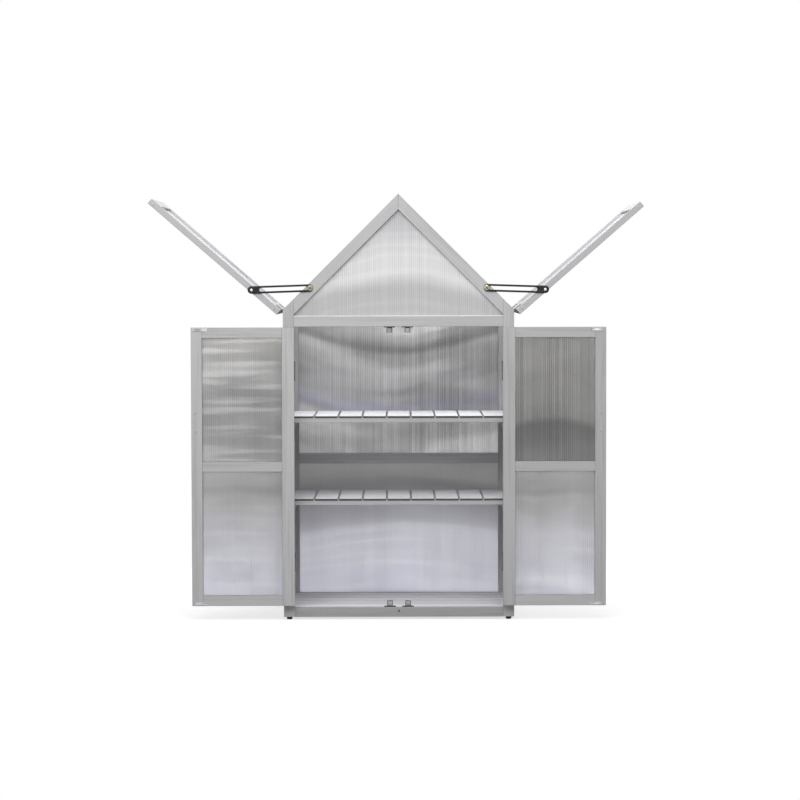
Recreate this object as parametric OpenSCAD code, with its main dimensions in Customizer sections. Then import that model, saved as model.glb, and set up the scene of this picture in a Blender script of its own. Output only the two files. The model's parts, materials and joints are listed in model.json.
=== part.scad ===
// Small wooden greenhouse cabinet with a 45 degree gable roof, two doors and two roof panels.
// It stands on +Z up, is seen from -Y, and is drawn with its doors and roof panels open.

/* [Body] */
// Width over the posts
body_w = 760; // [700:5:860]
// Depth from the front face of the front posts to the rear face of the back posts
body_d = 430; // [400:5:520]
// Height of the outer eave corner above the ground
eave_h = 1022; // [980:2:1100]
// Drop from the eave corner to the underside of the tie beams
tie_drop = 55; // [53:1:75]
// Height of the feet
foot_h = 9; // [6:1:30]
// Radius of a foot
foot_r = 10; // [8:0.5:13]

/* [Timber] */
// Face width of the posts, rafters and tie beams
frame_w = 36; // [32:1:42]
// Thickness of the front and back frames
frame_t = 28; // [24:1:34]
// Thickness of the side frames
side_t = 20; // [16:1:24]
// Face width of the side frame stiles
side_stile_w = 36; // [28:1:50]
// Height of the base rails
base_rail_h = 30; // [30:1:45]
// Height of the mid rails of the back and the sides
mid_rail_h = 34; // [28:1:50]
// Height above the ground of the underside of the back's and the sides' mid rails
mid_rail_z = 488; // [470:2:520]
// Width of the ridge bar
ridge_bar_w = 20; // [14:1:26]
// Height of the ridge bar
ridge_bar_h = 30; // [20:1:36]

/* [Sheets] */
// Thickness of the polycarbonate sheets
pane_t = 4; // [3:0.5:6]
// Depth of the groove that holds a sheet
groove_d = 8; // [5:0.5:10]
// Play of a sheet in its groove, across its thickness
pane_fit = 0.5; // [0.2:0.1:1]
// Play between a sheet's edge and the bottom of its groove
pane_end_gap = 0.8; // [0.4:0.1:2]

/* [Floor] */
// Width of a floor board
floor_board_w = 75; // [60:1:90]
// Gap between floor boards
floor_gap = 5; // [3:0.5:10]
// Thickness of the floor boards
floor_t = 6; // [5:0.5:9]
// Width of a floor bearer
bearer_w = 20; // [16:1:30]

/* [Shelves] */
// Height of the lower shelf's top face
lower_shelf_z = 396; // [340:1:420]
// Height of the upper shelf's top face
upper_shelf_z = 670; // [620:5:720]
// Width of a shelf slat
slat_w = 75; // [60:1:90]
// Gap between shelf slats
slat_gap = 5; // [3:0.5:8]
// Thickness of a shelf slat
slat_t = 6; // [5:0.5:9]
// Distance from the front face of the body to the shelves' front ends
shelf_setback = 45; // [40:1:90]
// Height of the rails under the slats
shelf_rail_h = 15; // [10:1:20]
// Depth of the rails under the slats
shelf_rail_d = 20; // [14:1:28]
// Setback of the front shelf rail behind the slat ends
shelf_rail_inset = 2; // [0:0.5:6]
// Width of a shelf cleat
cleat_w = 15; // [10:1:18]
// Height of a shelf cleat
cleat_h = 18; // [12:1:28]

/* [Doors] */
// Thickness of the doors
door_t = 20; // [16:1:24]
// Gap between the two closed doors
door_mid_gap = 8; // [4:0.5:12]
// Gap over a closed door
door_top_gap = 2; // [1:0.5:4]
// Gap under a closed door
door_foot_gap = 10; // [2:0.5:12]
// Width of a door's hinge stile
hinge_stile_w = 40; // [34:1:50]
// Width of a door's free stile
free_stile_w = 36; // [30:1:44]
// Height of a door's top and bottom rails
door_rail_h = 34; // [28:1:44]
// Height of a door's mid rail
door_mid_rail_h = 33; // [28:1:44]
// Height above the ground of the underside of a door's mid rail
door_mid_rail_z = 491.5; // [470:0.5:520]
// Distance from a door's top edge to the middle of the upper hinge
door_hinge_top = 143; // [80:1:200]
// Distance from a door's bottom edge to the middle of the lower hinge
door_hinge_foot = 143; // [80:1:200]

/* [Door furniture] */
// Distance between the two screws of a handle
handle_pitch = 60; // [50:1:96]
// Height of a handle's middle above the ground
handle_z = 654; // [600:2:720]
// Distance from a door's free edge to its handle
handle_inset = 16; // [14:1:18]
// Height of the handle's grip over the door
handle_reach = 24; // [20:1:32]
// Radius of the handle's grip and feet
handle_r = 5; // [4:0.5:6]
// Radius of the handle screws
handle_screw_r = 2; // [1.5:0.25:2.5]
// Width of a magnetic catch's body
catch_w = 19; // [16:1:24]
// Height of a magnetic catch's body
catch_h = 20; // [15:1:24]
// Depth of a magnetic catch
catch_d = 12; // [9:1:16]
// Width over a magnetic catch's two ears
catch_ears_w = 38; // [34:1:42]
// Thickness of a magnetic catch's ears
catch_ear_t = 3; // [2:0.5:4]
// Distance from the middle of the body to the middle of a catch
catch_x = 30; // [28:0.5:36]
// Width of a strike plate
strike_w = 45; // [38:1:50]
// Height of a strike plate
strike_h = 9; // [7:0.5:12]
// Distance from a door's free edge to a strike plate
strike_inset = 7.5; // [5:0.5:9]
// Distance from a door's top or bottom edge to a strike plate
strike_drop = 3; // [3:0.5:7]
// Thickness of a strike plate
strike_t = 1.2; // [0.8:0.1:2]
// Running clearance between a strike plate and its catch
strike_fit = 0.4; // [0.3:0.1:1]

/* [Hinges] */
// Length of a butt hinge
hinge_h = 63; // [50:1:76]
// Radius of a hinge knuckle
knuckle_r = 3; // [2.6:0.1:3.6]
// Radius of a hinge pin
pin_r = 1.5; // [1.2:0.05:1.7]
// Thickness of a hinge leaf
leaf_t = 1.5; // [1.3:0.1:1.6]
// Gap between the two leaves of a closed hinge
leaf_gap = 0.5; // [0.3:0.1:0.6]
// Width of a door hinge's leaf on the wood
door_leaf_w = 18; // [14:1:19]
// Width of a roof hinge's leaf on the wood
roof_leaf_w = 24; // [18:1:26]
// Distance from a roof panel's end to the middle of its hinge
roof_hinge_inset = 90; // [60:2:130]

/* [Roof] */
// Thickness of the roof panels
roof_t = 20; // [16:1:26]
// Face width of the roof panels' frame members
roof_member_w = 36; // [30:1:44]
// Angle from closed to open of a roof panel
roof_open = 94; // [80:1:98]

/* [Stays] */
// Distance from a roof hinge's pin to the stay's rivet, and to its screw
stay_r = 119; // [110:1:130]
// Distance from a roof panel's inner face to the rivet
rivet_in = 12.5; // [8:0.5:14]
// Distance from the rafter's upper edge to the stay's screw
screw_in = 13; // [11:0.5:18]
// Width of a stay
stay_w = 25; // [20:1:28]
// Thickness of a stay
stay_t = 2; // [1.5:0.5:3]
// Width of the slot in a stay
slot_w = 12; // [9:0.5:14]
// Radius of the rivet
rivet_r = 3; // [2.5:0.25:3.5]
// Radius of the stay screw's shank
stay_screw_r = 2.5; // [2:0.25:3]
// Length of the stay screw and of the rivet in the wood
stay_screw_len = 18; // [12:1:22]
// Thickness of the washers beside a stay
washer_t = 1; // [0.8:0.1:2]
// Radius of the washers beside a stay
washer_r = 9; // [8:0.5:11]
// Thickness of the fasteners' heads
head_t = 2.2; // [1.5:0.1:3]

/* [Fasteners] */
// Radius of the frame screws' heads
screw_head_r = 3.5; // [3:0.25:4.5]
// Radius of the frame screws
screw_r = 1.8; // [1.5:0.1:2]
// Length of the frame screws
screw_len = 45; // [42:1:52]
// Distance from the top of a base rail to its middle screw
base_screw_drop = 10; // [9:0.5:16]
// Height of the lowest screws in the posts
post_screw_low = 100; // [70:5:140]
// Distance from the eave corner to the highest screws in the posts
post_screw_top = 80; // [70:5:140]

/* [Clearances] */
// Radial running clearance of a hinge pin or a rivet
run_fit = 0.06; // [0.02:0.01:0.09]
// Clearance of a moving piece beside a fixed one
side_fit = 0.3; // [0.2:0.1:0.5]
// Radial gap of a pin or screw in the hole that holds it
hold_gap = 0.02; // [0.01:0.01:0.05]
// Gap at the ends of the boards and slats
board_fit = 0.5; // [0.2:0.1:1]

/* [Hidden] */
$fn = 64;

wood_grey = [0.70, 0.70, 0.69];
wood_pale = [0.86, 0.86, 0.88];
sheet_clear = [0.80, 0.84, 0.88, 0.5];
metal_black = [0.08, 0.08, 0.09];
metal_zinc = [0.75, 0.76, 0.78];
metal_brass = [0.70, 0.58, 0.34];
rubber_black = [0.05, 0.05, 0.05];

// Cut tools run past the faces that they open by this much
over = 1;

// The roof panels butt against each other at the ridge, which takes a right angle there
roof_slope = 45;

half_w = body_w / 2;
post_x = half_w - frame_w;
side_in_x = half_w - side_t;
back_y = body_d - frame_t;
base_top = foot_h + base_rail_h;
tie_z = eave_h - tie_drop;
tie_top = tie_z + frame_w;
apex_z = eave_h + half_w;
rafter_drop = frame_w / cos(roof_slope);
slope_len = half_w / cos(roof_slope);

// The leaves of the roof hinges hold a closed roof panel off the rafters
roof_lift = 2 * leaf_t + leaf_gap;
pin_up = roof_lift / 2;
pin_out = knuckle_r + side_fit;
roof_right_len = slope_len;
roof_left_len = slope_len + roof_t;

// A door's hinge leaf is let in flush with its edge, and the post's leaf lies on the post
door_pin_x = post_x - leaf_t - leaf_gap / 2;
door_edge_x = post_x - leaf_t - leaf_gap;
door_free_x = door_mid_gap / 2;
door_w = door_edge_x - door_free_x;
door_low = base_top + door_foot_gap;
door_top = tie_z - door_top_gap;
door_h = door_top - door_low;
door_mid_z = door_mid_rail_z - door_low;
door_hinge_z = [door_low + door_hinge_foot - hinge_h / 2, door_top - door_hinge_top - hinge_h / 2];
door_stack = door_t + 2 * pin_out;

// The origin lies midway between the faces of the open doors and the back of the body
front_y = -(body_d - door_stack) / 2;

// A hinge has three knuckles, and the moving leaf has the middle one
knuckle_h = hinge_h / 3;
roof_hinge_y = [roof_hinge_inset, body_d - roof_hinge_inset];

// The rivet and the screw lie at the same distance from the hinge pin, so that the stay
// turns by half of the panel's angle
rivet_v = roof_lift + rivet_in;
screw_v = -screw_in;
rivet_angle = asin((rivet_v - pin_up) / stay_r);
screw_angle = asin((screw_v - pin_up) / stay_r);
rivet_u = stay_r * cos(rivet_angle) - pin_out;
screw_u = stay_r * cos(screw_angle) - pin_out;
open_spread = roof_open + rivet_angle - screw_angle;
shut_spread = rivet_angle - screw_angle;
open_reach = 2 * stay_r * sin(open_spread / 2);
shut_reach = 2 * stay_r * sin(shut_spread / 2);
slot_from = shut_reach - stay_screw_r - side_fit;
slot_to = open_reach + stay_screw_r + side_fit;
stay_y = washer_t + side_fit;
stay_head_y = stay_y + stay_t + side_fit;

catch_y = door_t + strike_t + strike_fit;
post_screw_z = [post_screw_low, mid_rail_z + mid_rail_h / 2, eave_h - post_screw_top];
side_mid_x = half_w - side_t / 2;
roof_member_mid = roof_member_w / 2;

slat_count = floor((2 * side_in_x + slat_gap) / (slat_w + slat_gap));
slats_w = slat_count * (slat_w + slat_gap) - slat_gap;
shelf_back = back_y - board_fit;
shelf_rail_y = [
    shelf_setback + shelf_rail_inset,
    (shelf_setback + shelf_back - shelf_rail_d) / 2,
    shelf_back - shelf_rail_inset - shelf_rail_d
];
floor_pitch = floor_board_w + floor_gap;
floor_count = ceil((back_y - frame_t - floor_gap) / floor_pitch);

// Places its children, drawn with the front of the body at y = 0
module in_body() {
    translate([0, front_y, 0]) children();
}

// Draws the left piece as it stands, or the right one as its mirror image
module on_side(side) {
    if (side == "left") children();
    else mirror([1, 0, 0]) children();
}

// Stands a flat outline in x and z upright, from y0 to y1
module upright(y0, y1) {
    translate([0, y1, 0]) rotate([90, 0, 0]) linear_extrude(y1 - y0) children();
}

// A block between two corners
module block(low, high) {
    translate(low) cube(high - low);
}

// A screw along +y, with its head at y = 0 and in front of it
module screw(r, len, head_r) {
    rotate([-90, 0, 0]) cylinder(r = r, h = len);
    rotate([90, 0, 0]) rotate_extrude()
        intersection() {
            square([head_r, head_t]);
            translate([0, -head_r * 1.2]) circle(r = head_r * 1.2 + head_t);
        }
}

// The hole for a screw along +y
module screw_hole(r, len) {
    translate([0, -over, 0]) rotate([-90, 0, 0]) cylinder(r = r + hold_gap, h = len + over);
}

// A frame stands in x and z and is t thick in y. Its stiles run the full height.
// The rails are given as [from, to] heights, the lowest first.
module frame_slots(w, t, stile_a, stile_b, rails) {
    slot = pane_t + pane_fit;
    for (i = [0 : len(rails) - 2])
        block([stile_a - groove_d, (t - slot) / 2, rails[i][1] - groove_d],
            [w - stile_b + groove_d, (t + slot) / 2, rails[i + 1][0] + groove_d]);
}

module frame_stiles(w, h, t, stile_a, stile_b, rails) {
    difference() {
        union() {
            cube([stile_a, t, h]);
            translate([w - stile_b, 0, 0]) cube([stile_b, t, h]);
        }
        frame_slots(w, t, stile_a, stile_b, rails);
    }
}

module frame_rails(w, t, stile_a, stile_b, rails) {
    difference() {
        for (rail = rails) block([stile_a, 0, rail[0]], [w - stile_b, t, rail[1]]);
        frame_slots(w, t, stile_a, stile_b, rails);
    }
}

module frame_panes(w, t, stile_a, stile_b, rails) {
    edge = groove_d - pane_end_gap;
    for (i = [0 : len(rails) - 2])
        block([stile_a - edge, (t - pane_t) / 2, rails[i][1] - edge],
            [w - stile_b + edge, (t + pane_t) / 2, rails[i + 1][0] + edge]);
}

// Everything above the plane of the rafters' upper edges
module above_roof() {
    far = half_w + frame_w;
    upright(-over, body_d + over)
        polygon([[-far, apex_z - far], [0, apex_z], [far, apex_z - far],
            [far, apex_z + far], [-far, apex_z + far]]);
}

// Outline of a gable sheet, reaching by edge into the rafters and the tie beam
module gable_outline(edge, end) {
    line_z = apex_z - rafter_drop + edge / cos(roof_slope);
    x = post_x - end;
    polygon([[-x, tie_top - edge], [x, tie_top - edge], [x, line_z - x], [0, line_z],
        [-x, line_z - x]]);
}

module gable_sheet() {
    upright((frame_t - pane_t) / 2, (frame_t + pane_t) / 2)
        gable_outline(groove_d - pane_end_gap, board_fit);
}

module gable_slot() {
    slot = pane_t + pane_fit;
    upright((frame_t - slot) / 2, (frame_t + slot) / 2) gable_outline(groove_d, -over);
}

// The left post of the front or the back, with its top cut on the slope of the roof
module post_blank() {
    upright(0, frame_t)
        polygon([[-half_w, foot_h], [-post_x, foot_h], [-post_x, apex_z - post_x],
            [-half_w, eave_h]]);
}

// Holes for the screws that hold the left posts to the side frame
module post_screw_holes() {
    for (z = post_screw_z) {
        translate([-side_mid_x, 0, z]) screw_hole(screw_r, screw_len);
        translate([-side_mid_x, body_d, z]) mirror([0, 1, 0]) screw_hole(screw_r, screw_len);
    }
}

module front_post() {
    difference() {
        post_blank();
        post_screw_holes();
    }
}

// The left rafter of the front or the back
module rafter() {
    difference() {
        upright(0, frame_t)
            polygon([[0, apex_z], [-post_x, apex_z - post_x],
                [-post_x, apex_z - post_x - rafter_drop], [0, apex_z - rafter_drop]]);
        gable_slot();
    }
}

module tie_beam() {
    difference() {
        block([-post_x, 0, tie_z], [post_x, frame_t, tie_top]);
        gable_slot();
    }
}

module base_screw_hole() {
    translate([0, 0, base_top - base_screw_drop]) screw_hole(screw_r, screw_len);
}

module base_rail() {
    difference() {
        block([-post_x, 0, foot_h], [post_x, frame_t, base_top]);
        base_screw_hole();
    }
}

module in_back() {
    translate([0, back_y, 0]) children();
}

// Turns a piece of the front frame round, to stand in the back frame
module turned_back() {
    translate([0, body_d, 0]) mirror([0, 1, 0]) children();
}

// The frame of the back between its posts: base rail, mid rail and tie beam
back_rails = [[foot_h, base_top], [mid_rail_z, mid_rail_z + mid_rail_h], [tie_z, tie_top]];

module back_slots() {
    translate([-half_w, back_y, 0]) frame_slots(body_w, frame_t, frame_w, frame_w, back_rails);
}

module front_post_left() {
    color(wood_grey) in_body() front_post();
}

module front_post_right() {
    color(wood_grey) in_body() on_side("right") front_post();
}

module front_rafter_left() {
    color(wood_grey) in_body() difference() {
        rafter();
        stay_screw_holes();
    }
}

module front_rafter_right() {
    color(wood_grey) in_body() on_side("right") difference() {
        rafter();
        stay_screw_holes();
    }
}

module front_tie_beam() {
    color(wood_grey) in_body() tie_beam();
}

module front_base_rail() {
    color(wood_grey) in_body() base_rail();
}

module front_gable_pane() {
    color(sheet_clear) in_body() gable_sheet();
}

module back_posts() {
    color(wood_grey) in_body() difference() {
        for (side = ["left", "right"]) on_side(side) in_back() post_blank();
        for (side = ["left", "right"]) on_side(side) post_screw_holes();
        back_slots();
    }
}

module back_rafters() {
    color(wood_grey) in_body()
        for (side = ["left", "right"]) on_side(side) in_back() rafter();
}

module back_tie_beam() {
    color(wood_grey) in_body() difference() {
        in_back() tie_beam();
        back_slots();
    }
}

module back_mid_rail() {
    color(wood_grey) in_body() difference() {
        block([-post_x, back_y, mid_rail_z], [post_x, body_d, mid_rail_z + mid_rail_h]);
        back_slots();
    }
}

module back_base_rail() {
    color(wood_grey) in_body() difference() {
        turned_back() base_rail();
        back_slots();
    }
}

module back_gable_pane() {
    color(sheet_clear) in_body() in_back() gable_sheet();
}

module back_panes() {
    color(sheet_clear) in_body() translate([-half_w, back_y, 0])
        frame_panes(body_w, frame_t, frame_w, frame_w, back_rails);
}

module ridge_bar() {
    bar_top = apex_z - ridge_bar_w / 2;
    color(wood_grey) in_body()
        block([-ridge_bar_w / 2, frame_t, bar_top - ridge_bar_h],
            [ridge_bar_w / 2, back_y, bar_top]);
}

// The side frames stand between the posts, and the roof cuts their tops
side_w = back_y - frame_t;
side_h = eave_h + side_t - foot_h;
side_rails = [
    [0, base_rail_h],
    [mid_rail_z - foot_h, mid_rail_z - foot_h + mid_rail_h],
    [side_h - side_t - frame_w, side_h]
];

module in_left_side() {
    translate([-side_in_x, frame_t, foot_h]) rotate([0, 0, 90]) children();
}

module side_stiles(side) {
    color(wood_grey) in_body() on_side(side) difference() {
        in_left_side()
            frame_stiles(side_w, side_h, side_t, side_stile_w, side_stile_w, side_rails);
        above_roof();
        post_screw_holes();
    }
}

module side_rails_of(side) {
    color(wood_grey) in_body() on_side(side) difference() {
        in_left_side() frame_rails(side_w, side_t, side_stile_w, side_stile_w, side_rails);
        above_roof();
    }
}

module side_panes(side) {
    color(sheet_clear) in_body() on_side(side) in_left_side()
        frame_panes(side_w, side_t, side_stile_w, side_stile_w, side_rails);
}

module floor_boards() {
    x = side_in_x - board_fit;
    color(wood_pale) in_body() for (i = [0 : floor_count - 1]) {
        y = frame_t + i * floor_pitch;
        block([-x, y, base_top - floor_t], [x, min(y + floor_board_w, back_y), base_top]);
    }
}

module floor_bearers() {
    color(wood_grey) in_body() difference() {
        for (x = [-side_in_x, -bearer_w / 2, side_in_x - bearer_w])
            block([x, frame_t, foot_h], [x + bearer_w, back_y, base_top - floor_t]);
        base_screw_hole();
        turned_back() base_screw_hole();
    }
}

module shelf_slats() {
    color(wood_pale) in_body()
        for (z = [lower_shelf_z, upper_shelf_z], i = [0 : slat_count - 1]) {
            x = -slats_w / 2 + i * (slat_w + slat_gap);
            block([x, shelf_setback, z - slat_t], [x + slat_w, shelf_back, z]);
        }
}

module shelf_rails() {
    color(wood_grey) in_body()
        for (z = [lower_shelf_z - slat_t, upper_shelf_z - slat_t], y = shelf_rail_y)
            block([-slats_w / 2, y, z - shelf_rail_h], [slats_w / 2, y + shelf_rail_d, z]);
}

module shelf_cleats() {
    color(wood_grey) in_body()
        for (side = ["left", "right"], z = [lower_shelf_z, upper_shelf_z]) {
            top = z - slat_t - shelf_rail_h;
            on_side(side) block([-side_in_x, frame_t, top - cleat_h],
                [cleat_w - side_in_x, back_y, top]);
        }
}

module feet() {
    taper = foot_r / 8;
    color(rubber_black) in_body()
        for (side = ["left", "right"], y = [frame_t / 2, body_d - frame_t / 2])
            on_side(side) translate([-(half_w + post_x) / 2, y, 0])
                rotate_extrude() polygon([[0, 0], [foot_r - 2 * taper, 0],
                    [foot_r - taper, taper], [foot_r, foot_h], [0, foot_h]]);
}

// A magnetic catch on the surface below it, with two ears for its screws
module magnetic_catch() {
    translate([-catch_w / 2, 0, 0]) cube([catch_w, catch_d, catch_h]);
    translate([-catch_ears_w / 2, 0, 0]) cube([catch_ears_w, catch_d, catch_ear_t]);
}

module magnetic_catches() {
    color(metal_zinc) in_body() for (side = ["left", "right"]) on_side(side) {
        translate([-catch_x, catch_y, base_top]) magnetic_catch();
        translate([-catch_x, catch_y, tie_z]) mirror([0, 0, 1]) magnetic_catch();
    }
}

// One leaf of a butt hinge. The pin runs up z, and both leaves of the closed hinge reach
// along x. The fixed leaf lies at -y and has the outer knuckles.
module hinge_leaf(reach, moving) {
    own = moving ? [1] : [0, 2];
    other = moving ? [0, 2] : [1];
    leaf_y = moving ? leaf_gap / 2 : -leaf_gap / 2 - leaf_t;
    bore_r = pin_r + (moving ? run_fit : hold_gap);
    difference() {
        union() {
            for (k = own) translate([0, 0, k * knuckle_h + (k > 0 ? side_fit / 2 : 0)])
                cylinder(r = knuckle_r, h = knuckle_h - side_fit / (k == 1 ? 1 : 2));
            translate([0, leaf_y, 0]) cube([reach, leaf_t, hinge_h]);
        }
        for (k = other) translate([0, 0, k * knuckle_h - (k == 0 ? over : side_fit / 2)])
            cylinder(r = knuckle_r + side_fit,
                h = knuckle_h + (k == 1 ? side_fit : over + side_fit / 2));
        translate([0, 0, -over]) cylinder(r = bore_r, h = hinge_h + 2 * over);
    }
}

// A hinge pin with a thin head at each end
module hinge_pin() {
    pin_head = 0.8;
    translate([0, 0, -pin_head]) cylinder(r = (pin_r + knuckle_r) / 2, h = pin_head);
    cylinder(r = pin_r, h = hinge_h);
    translate([0, 0, hinge_h]) cylinder(r = (pin_r + knuckle_r) / 2, h = pin_head);
}

// Places of the left door's hinges
module at_door_hinges() {
    for (z = door_hinge_z)
        translate([-door_pin_x, -pin_out, z]) mirror([1, 0, 0]) rotate([0, 0, 90]) children();
}

// The slope of the left roof: u runs up the slope along x, and v stands off it along z
module on_slope() {
    translate([-half_w, 0, eave_h]) rotate([0, -roof_slope, 0]) children();
}

module at_roof_hinges() {
    for (y = roof_hinge_y)
        on_slope() translate([-pin_out, y + hinge_h / 2, pin_up]) rotate([90, 0, 0]) children();
}

module door_hinge_post_leaves() {
    color(metal_zinc) in_body() for (side = ["left", "right"])
        on_side(side) at_door_hinges() hinge_leaf(pin_out + door_leaf_w, false);
}

module roof_hinge_rail_leaves() {
    color(metal_zinc) in_body() for (side = ["left", "right"])
        on_side(side) at_roof_hinges() hinge_leaf(pin_out + roof_leaf_w, false);
}

module hinge_pins() {
    color(metal_zinc) in_body() for (side = ["left", "right"]) on_side(side) {
        at_door_hinges() hinge_pin();
        at_roof_hinges() hinge_pin();
    }
}

module at_stay_screw() {
    on_slope() translate([screw_u, 0, screw_v]) children();
}

module stay_screw_holes() {
    at_stay_screw() screw_hole(stay_screw_r, stay_screw_len);
}

// A washer along y, with its back at y = 0
module washer(bore_r) {
    rotate([90, 0, 0]) difference() {
        cylinder(r = washer_r, h = washer_t);
        translate([0, 0, -over]) cylinder(r = bore_r, h = washer_t + 2 * over);
    }
}

module stay_screws() {
    front = stay_head_y + washer_t;
    color(metal_brass) in_body() for (side = ["left", "right"]) on_side(side) at_stay_screw() {
        washer(stay_screw_r + hold_gap);
        translate([0, -stay_head_y, 0]) washer(stay_screw_r + hold_gap);
        translate([0, -front, 0])
            screw(stay_screw_r, front + stay_screw_len, washer_r * 2 / 3);
    }
}

module frame_screws() {
    color(metal_zinc) in_body() {
        for (side = ["left", "right"], z = post_screw_z) on_side(side) {
            translate([-side_mid_x, 0, z]) screw(screw_r, screw_len, screw_head_r);
            translate([-side_mid_x, body_d, z]) mirror([0, 1, 0])
                screw(screw_r, screw_len, screw_head_r);
        }
        for (y = [0, body_d]) translate([0, y, base_top - base_screw_drop])
            mirror([0, y > 0 ? 1 : 0, 0]) screw(screw_r, screw_len, screw_head_r);
    }
}

// The left door is drawn closed and swung open about its pin
module in_left_door() {
    translate([-door_pin_x, -pin_out, 0]) rotate([0, 0, 180])
        translate([door_pin_x, pin_out, 0]) children();
}

module door_frame_place() {
    translate([-door_edge_x, 0, door_low]) children();
}

door_rails = [
    [0, door_rail_h],
    [door_mid_z, door_mid_z + door_mid_rail_h],
    [door_h - door_rail_h, door_h]
];

module at_handle_screws() {
    for (z = [-handle_pitch / 2, handle_pitch / 2])
        translate([-(door_free_x + handle_inset), 0, handle_z + z]) children();
}

module door_stiles(side) {
    recess_d = leaf_t;
    color(wood_grey) in_body() on_side(side) in_left_door() difference() {
        door_frame_place()
            frame_stiles(door_w, door_h, door_t, hinge_stile_w, free_stile_w, door_rails);
        for (z = door_hinge_z) block([-door_edge_x - over, -over, z],
            [-door_edge_x + recess_d, door_leaf_w, z + hinge_h]);
        at_handle_screws() screw_hole(handle_screw_r, door_t + over);
    }
}

module door_rails_of(side) {
    color(wood_grey) in_body() on_side(side) in_left_door() door_frame_place()
        frame_rails(door_w, door_t, hinge_stile_w, free_stile_w, door_rails);
}

module door_panes(side) {
    color(sheet_clear) in_body() on_side(side) in_left_door() door_frame_place()
        frame_panes(door_w, door_t, hinge_stile_w, free_stile_w, door_rails);
}

// A bar handle on two feet, on the outer face of the door
module door_handle(side) {
    grip_y = handle_reach - handle_r;
    tail = handle_pitch / 6;
    bore_d = grip_y - handle_r;
    color(metal_black) in_body() on_side(side) in_left_door() difference() {
        union() {
            at_handle_screws() rotate([90, 0, 0]) cylinder(r = handle_r, h = grip_y);
            translate([-(door_free_x + handle_inset), -grip_y, handle_z - handle_pitch / 2 - tail])
                cylinder(r = handle_r, h = handle_pitch + 2 * tail);
        }
        at_handle_screws() translate([0, -bore_d, 0]) screw_hole(handle_screw_r, bore_d + over);
    }
}

module door_handle_screws(side) {
    bore_d = handle_reach - 2 * handle_r;
    color(metal_zinc) in_body() on_side(side) in_left_door() at_handle_screws()
        translate([0, door_t, 0]) mirror([0, 1, 0])
            screw(handle_screw_r, door_t + bore_d - over, screw_head_r);
}

// The steel plates that meet the magnetic catches, each with two screw holes
module door_strikes(side) {
    hole_r = strike_h / 5;
    x = -(door_free_x + strike_inset + strike_w);
    color(metal_zinc) in_body() on_side(side) in_left_door()
        for (z = [door_low + strike_drop, door_top - strike_drop - strike_h])
            translate([x, door_t, z]) difference() {
                cube([strike_w, strike_t, strike_h]);
                for (hole_x = [strike_h / 2, strike_w - strike_h / 2])
                    translate([hole_x, 0, strike_h / 2]) screw_hole(hole_r, strike_t + over);
            }
}

module door_hinge_leaves(side) {
    color(metal_zinc) in_body() on_side(side) in_left_door()
        at_door_hinges() hinge_leaf(pin_out + door_leaf_w, true);
}

// The left roof panel is drawn closed on its slope and swung open about its pin
module in_left_roof() {
    on_slope() translate([-pin_out, 0, pin_up]) rotate([0, -roof_open, 0])
        translate([pin_out, 0, -pin_up]) children();
}

module roof_frame_place() {
    translate([0, 0, roof_lift]) rotate([90, 0, 90]) children();
}

function roof_len(side) = side == "left" ? roof_left_len : roof_right_len;

function roof_rails(side) =
    [[0, roof_member_w], [roof_len(side) - roof_member_w, roof_len(side)]];

// Places of the screws through a roof panel's stiles into its rails, and of the rivet
module at_roof_screws(side) {
    for (u = [roof_member_mid, roof_len(side) - roof_member_mid])
        translate([u, 0, roof_lift + roof_t / 2]) {
            children();
            translate([0, body_d, 0]) mirror([0, 1, 0]) children();
        }
}

module roof_stiles(side) {
    color(wood_grey) in_body() on_side(side) in_left_roof() difference() {
        roof_frame_place() frame_stiles(body_d, roof_len(side), roof_t, roof_member_w,
            roof_member_w, roof_rails(side));
        at_roof_screws(side) screw_hole(screw_r, screw_len);
        translate([rivet_u, 0, rivet_v]) screw_hole(rivet_r, stay_screw_len);
    }
}

module roof_rails_of(side) {
    color(wood_grey) in_body() on_side(side) in_left_roof() difference() {
        roof_frame_place()
            frame_rails(body_d, roof_t, roof_member_w, roof_member_w, roof_rails(side));
        at_roof_screws(side) screw_hole(screw_r, screw_len);
    }
}

module roof_pane(side) {
    color(sheet_clear) in_body() on_side(side) in_left_roof() roof_frame_place()
        frame_panes(body_d, roof_t, roof_member_w, roof_member_w, roof_rails(side));
}

module roof_hinge_leaves(side) {
    color(metal_zinc) in_body() on_side(side) in_left_roof()
        for (y = roof_hinge_y) translate([-pin_out, y + hinge_h / 2, pin_up])
            rotate([90, 0, 0]) hinge_leaf(pin_out + roof_leaf_w, true);
}

module roof_fasteners(side) {
    color(metal_zinc) in_body() on_side(side) in_left_roof() {
        at_roof_screws(side) screw(screw_r, screw_len, screw_head_r);
        translate([rivet_u, 0, rivet_v]) {
            washer(rivet_r + hold_gap);
            translate([0, -stay_head_y, 0])
                screw(rivet_r, stay_head_y + stay_screw_len, rivet_r * 5 / 3);
        }
    }
}

// A flat outline with round ends, from x0 to x1 between the middles of its ends
module round_bar(x0, x1, w) {
    translate([x0, -w / 2]) square([x1 - x0, w]);
    for (x = [x0, x1]) translate([x, 0]) circle(d = w);
}

// The slotted stay, from its rivet along x
module stay_link() {
    bar_w = (stay_w - slot_w) / 2;
    upright(0, stay_t) difference() {
        round_bar(0, slot_to + bar_w - stay_w / 2, stay_w);
        round_bar(slot_from + slot_w / 2, slot_to - slot_w / 2, slot_w);
        circle(r = rivet_r + run_fit);
    }
}

module stay(side) {
    color(metal_black) in_body() on_side(side) on_slope()
        translate([-pin_out, -stay_y - stay_t, pin_up])
            rotate([0, -(rivet_angle + roof_open), 0]) translate([stay_r, 0, 0])
                rotate([0, 90 + open_spread / 2, 0]) stay_link();
}

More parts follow.
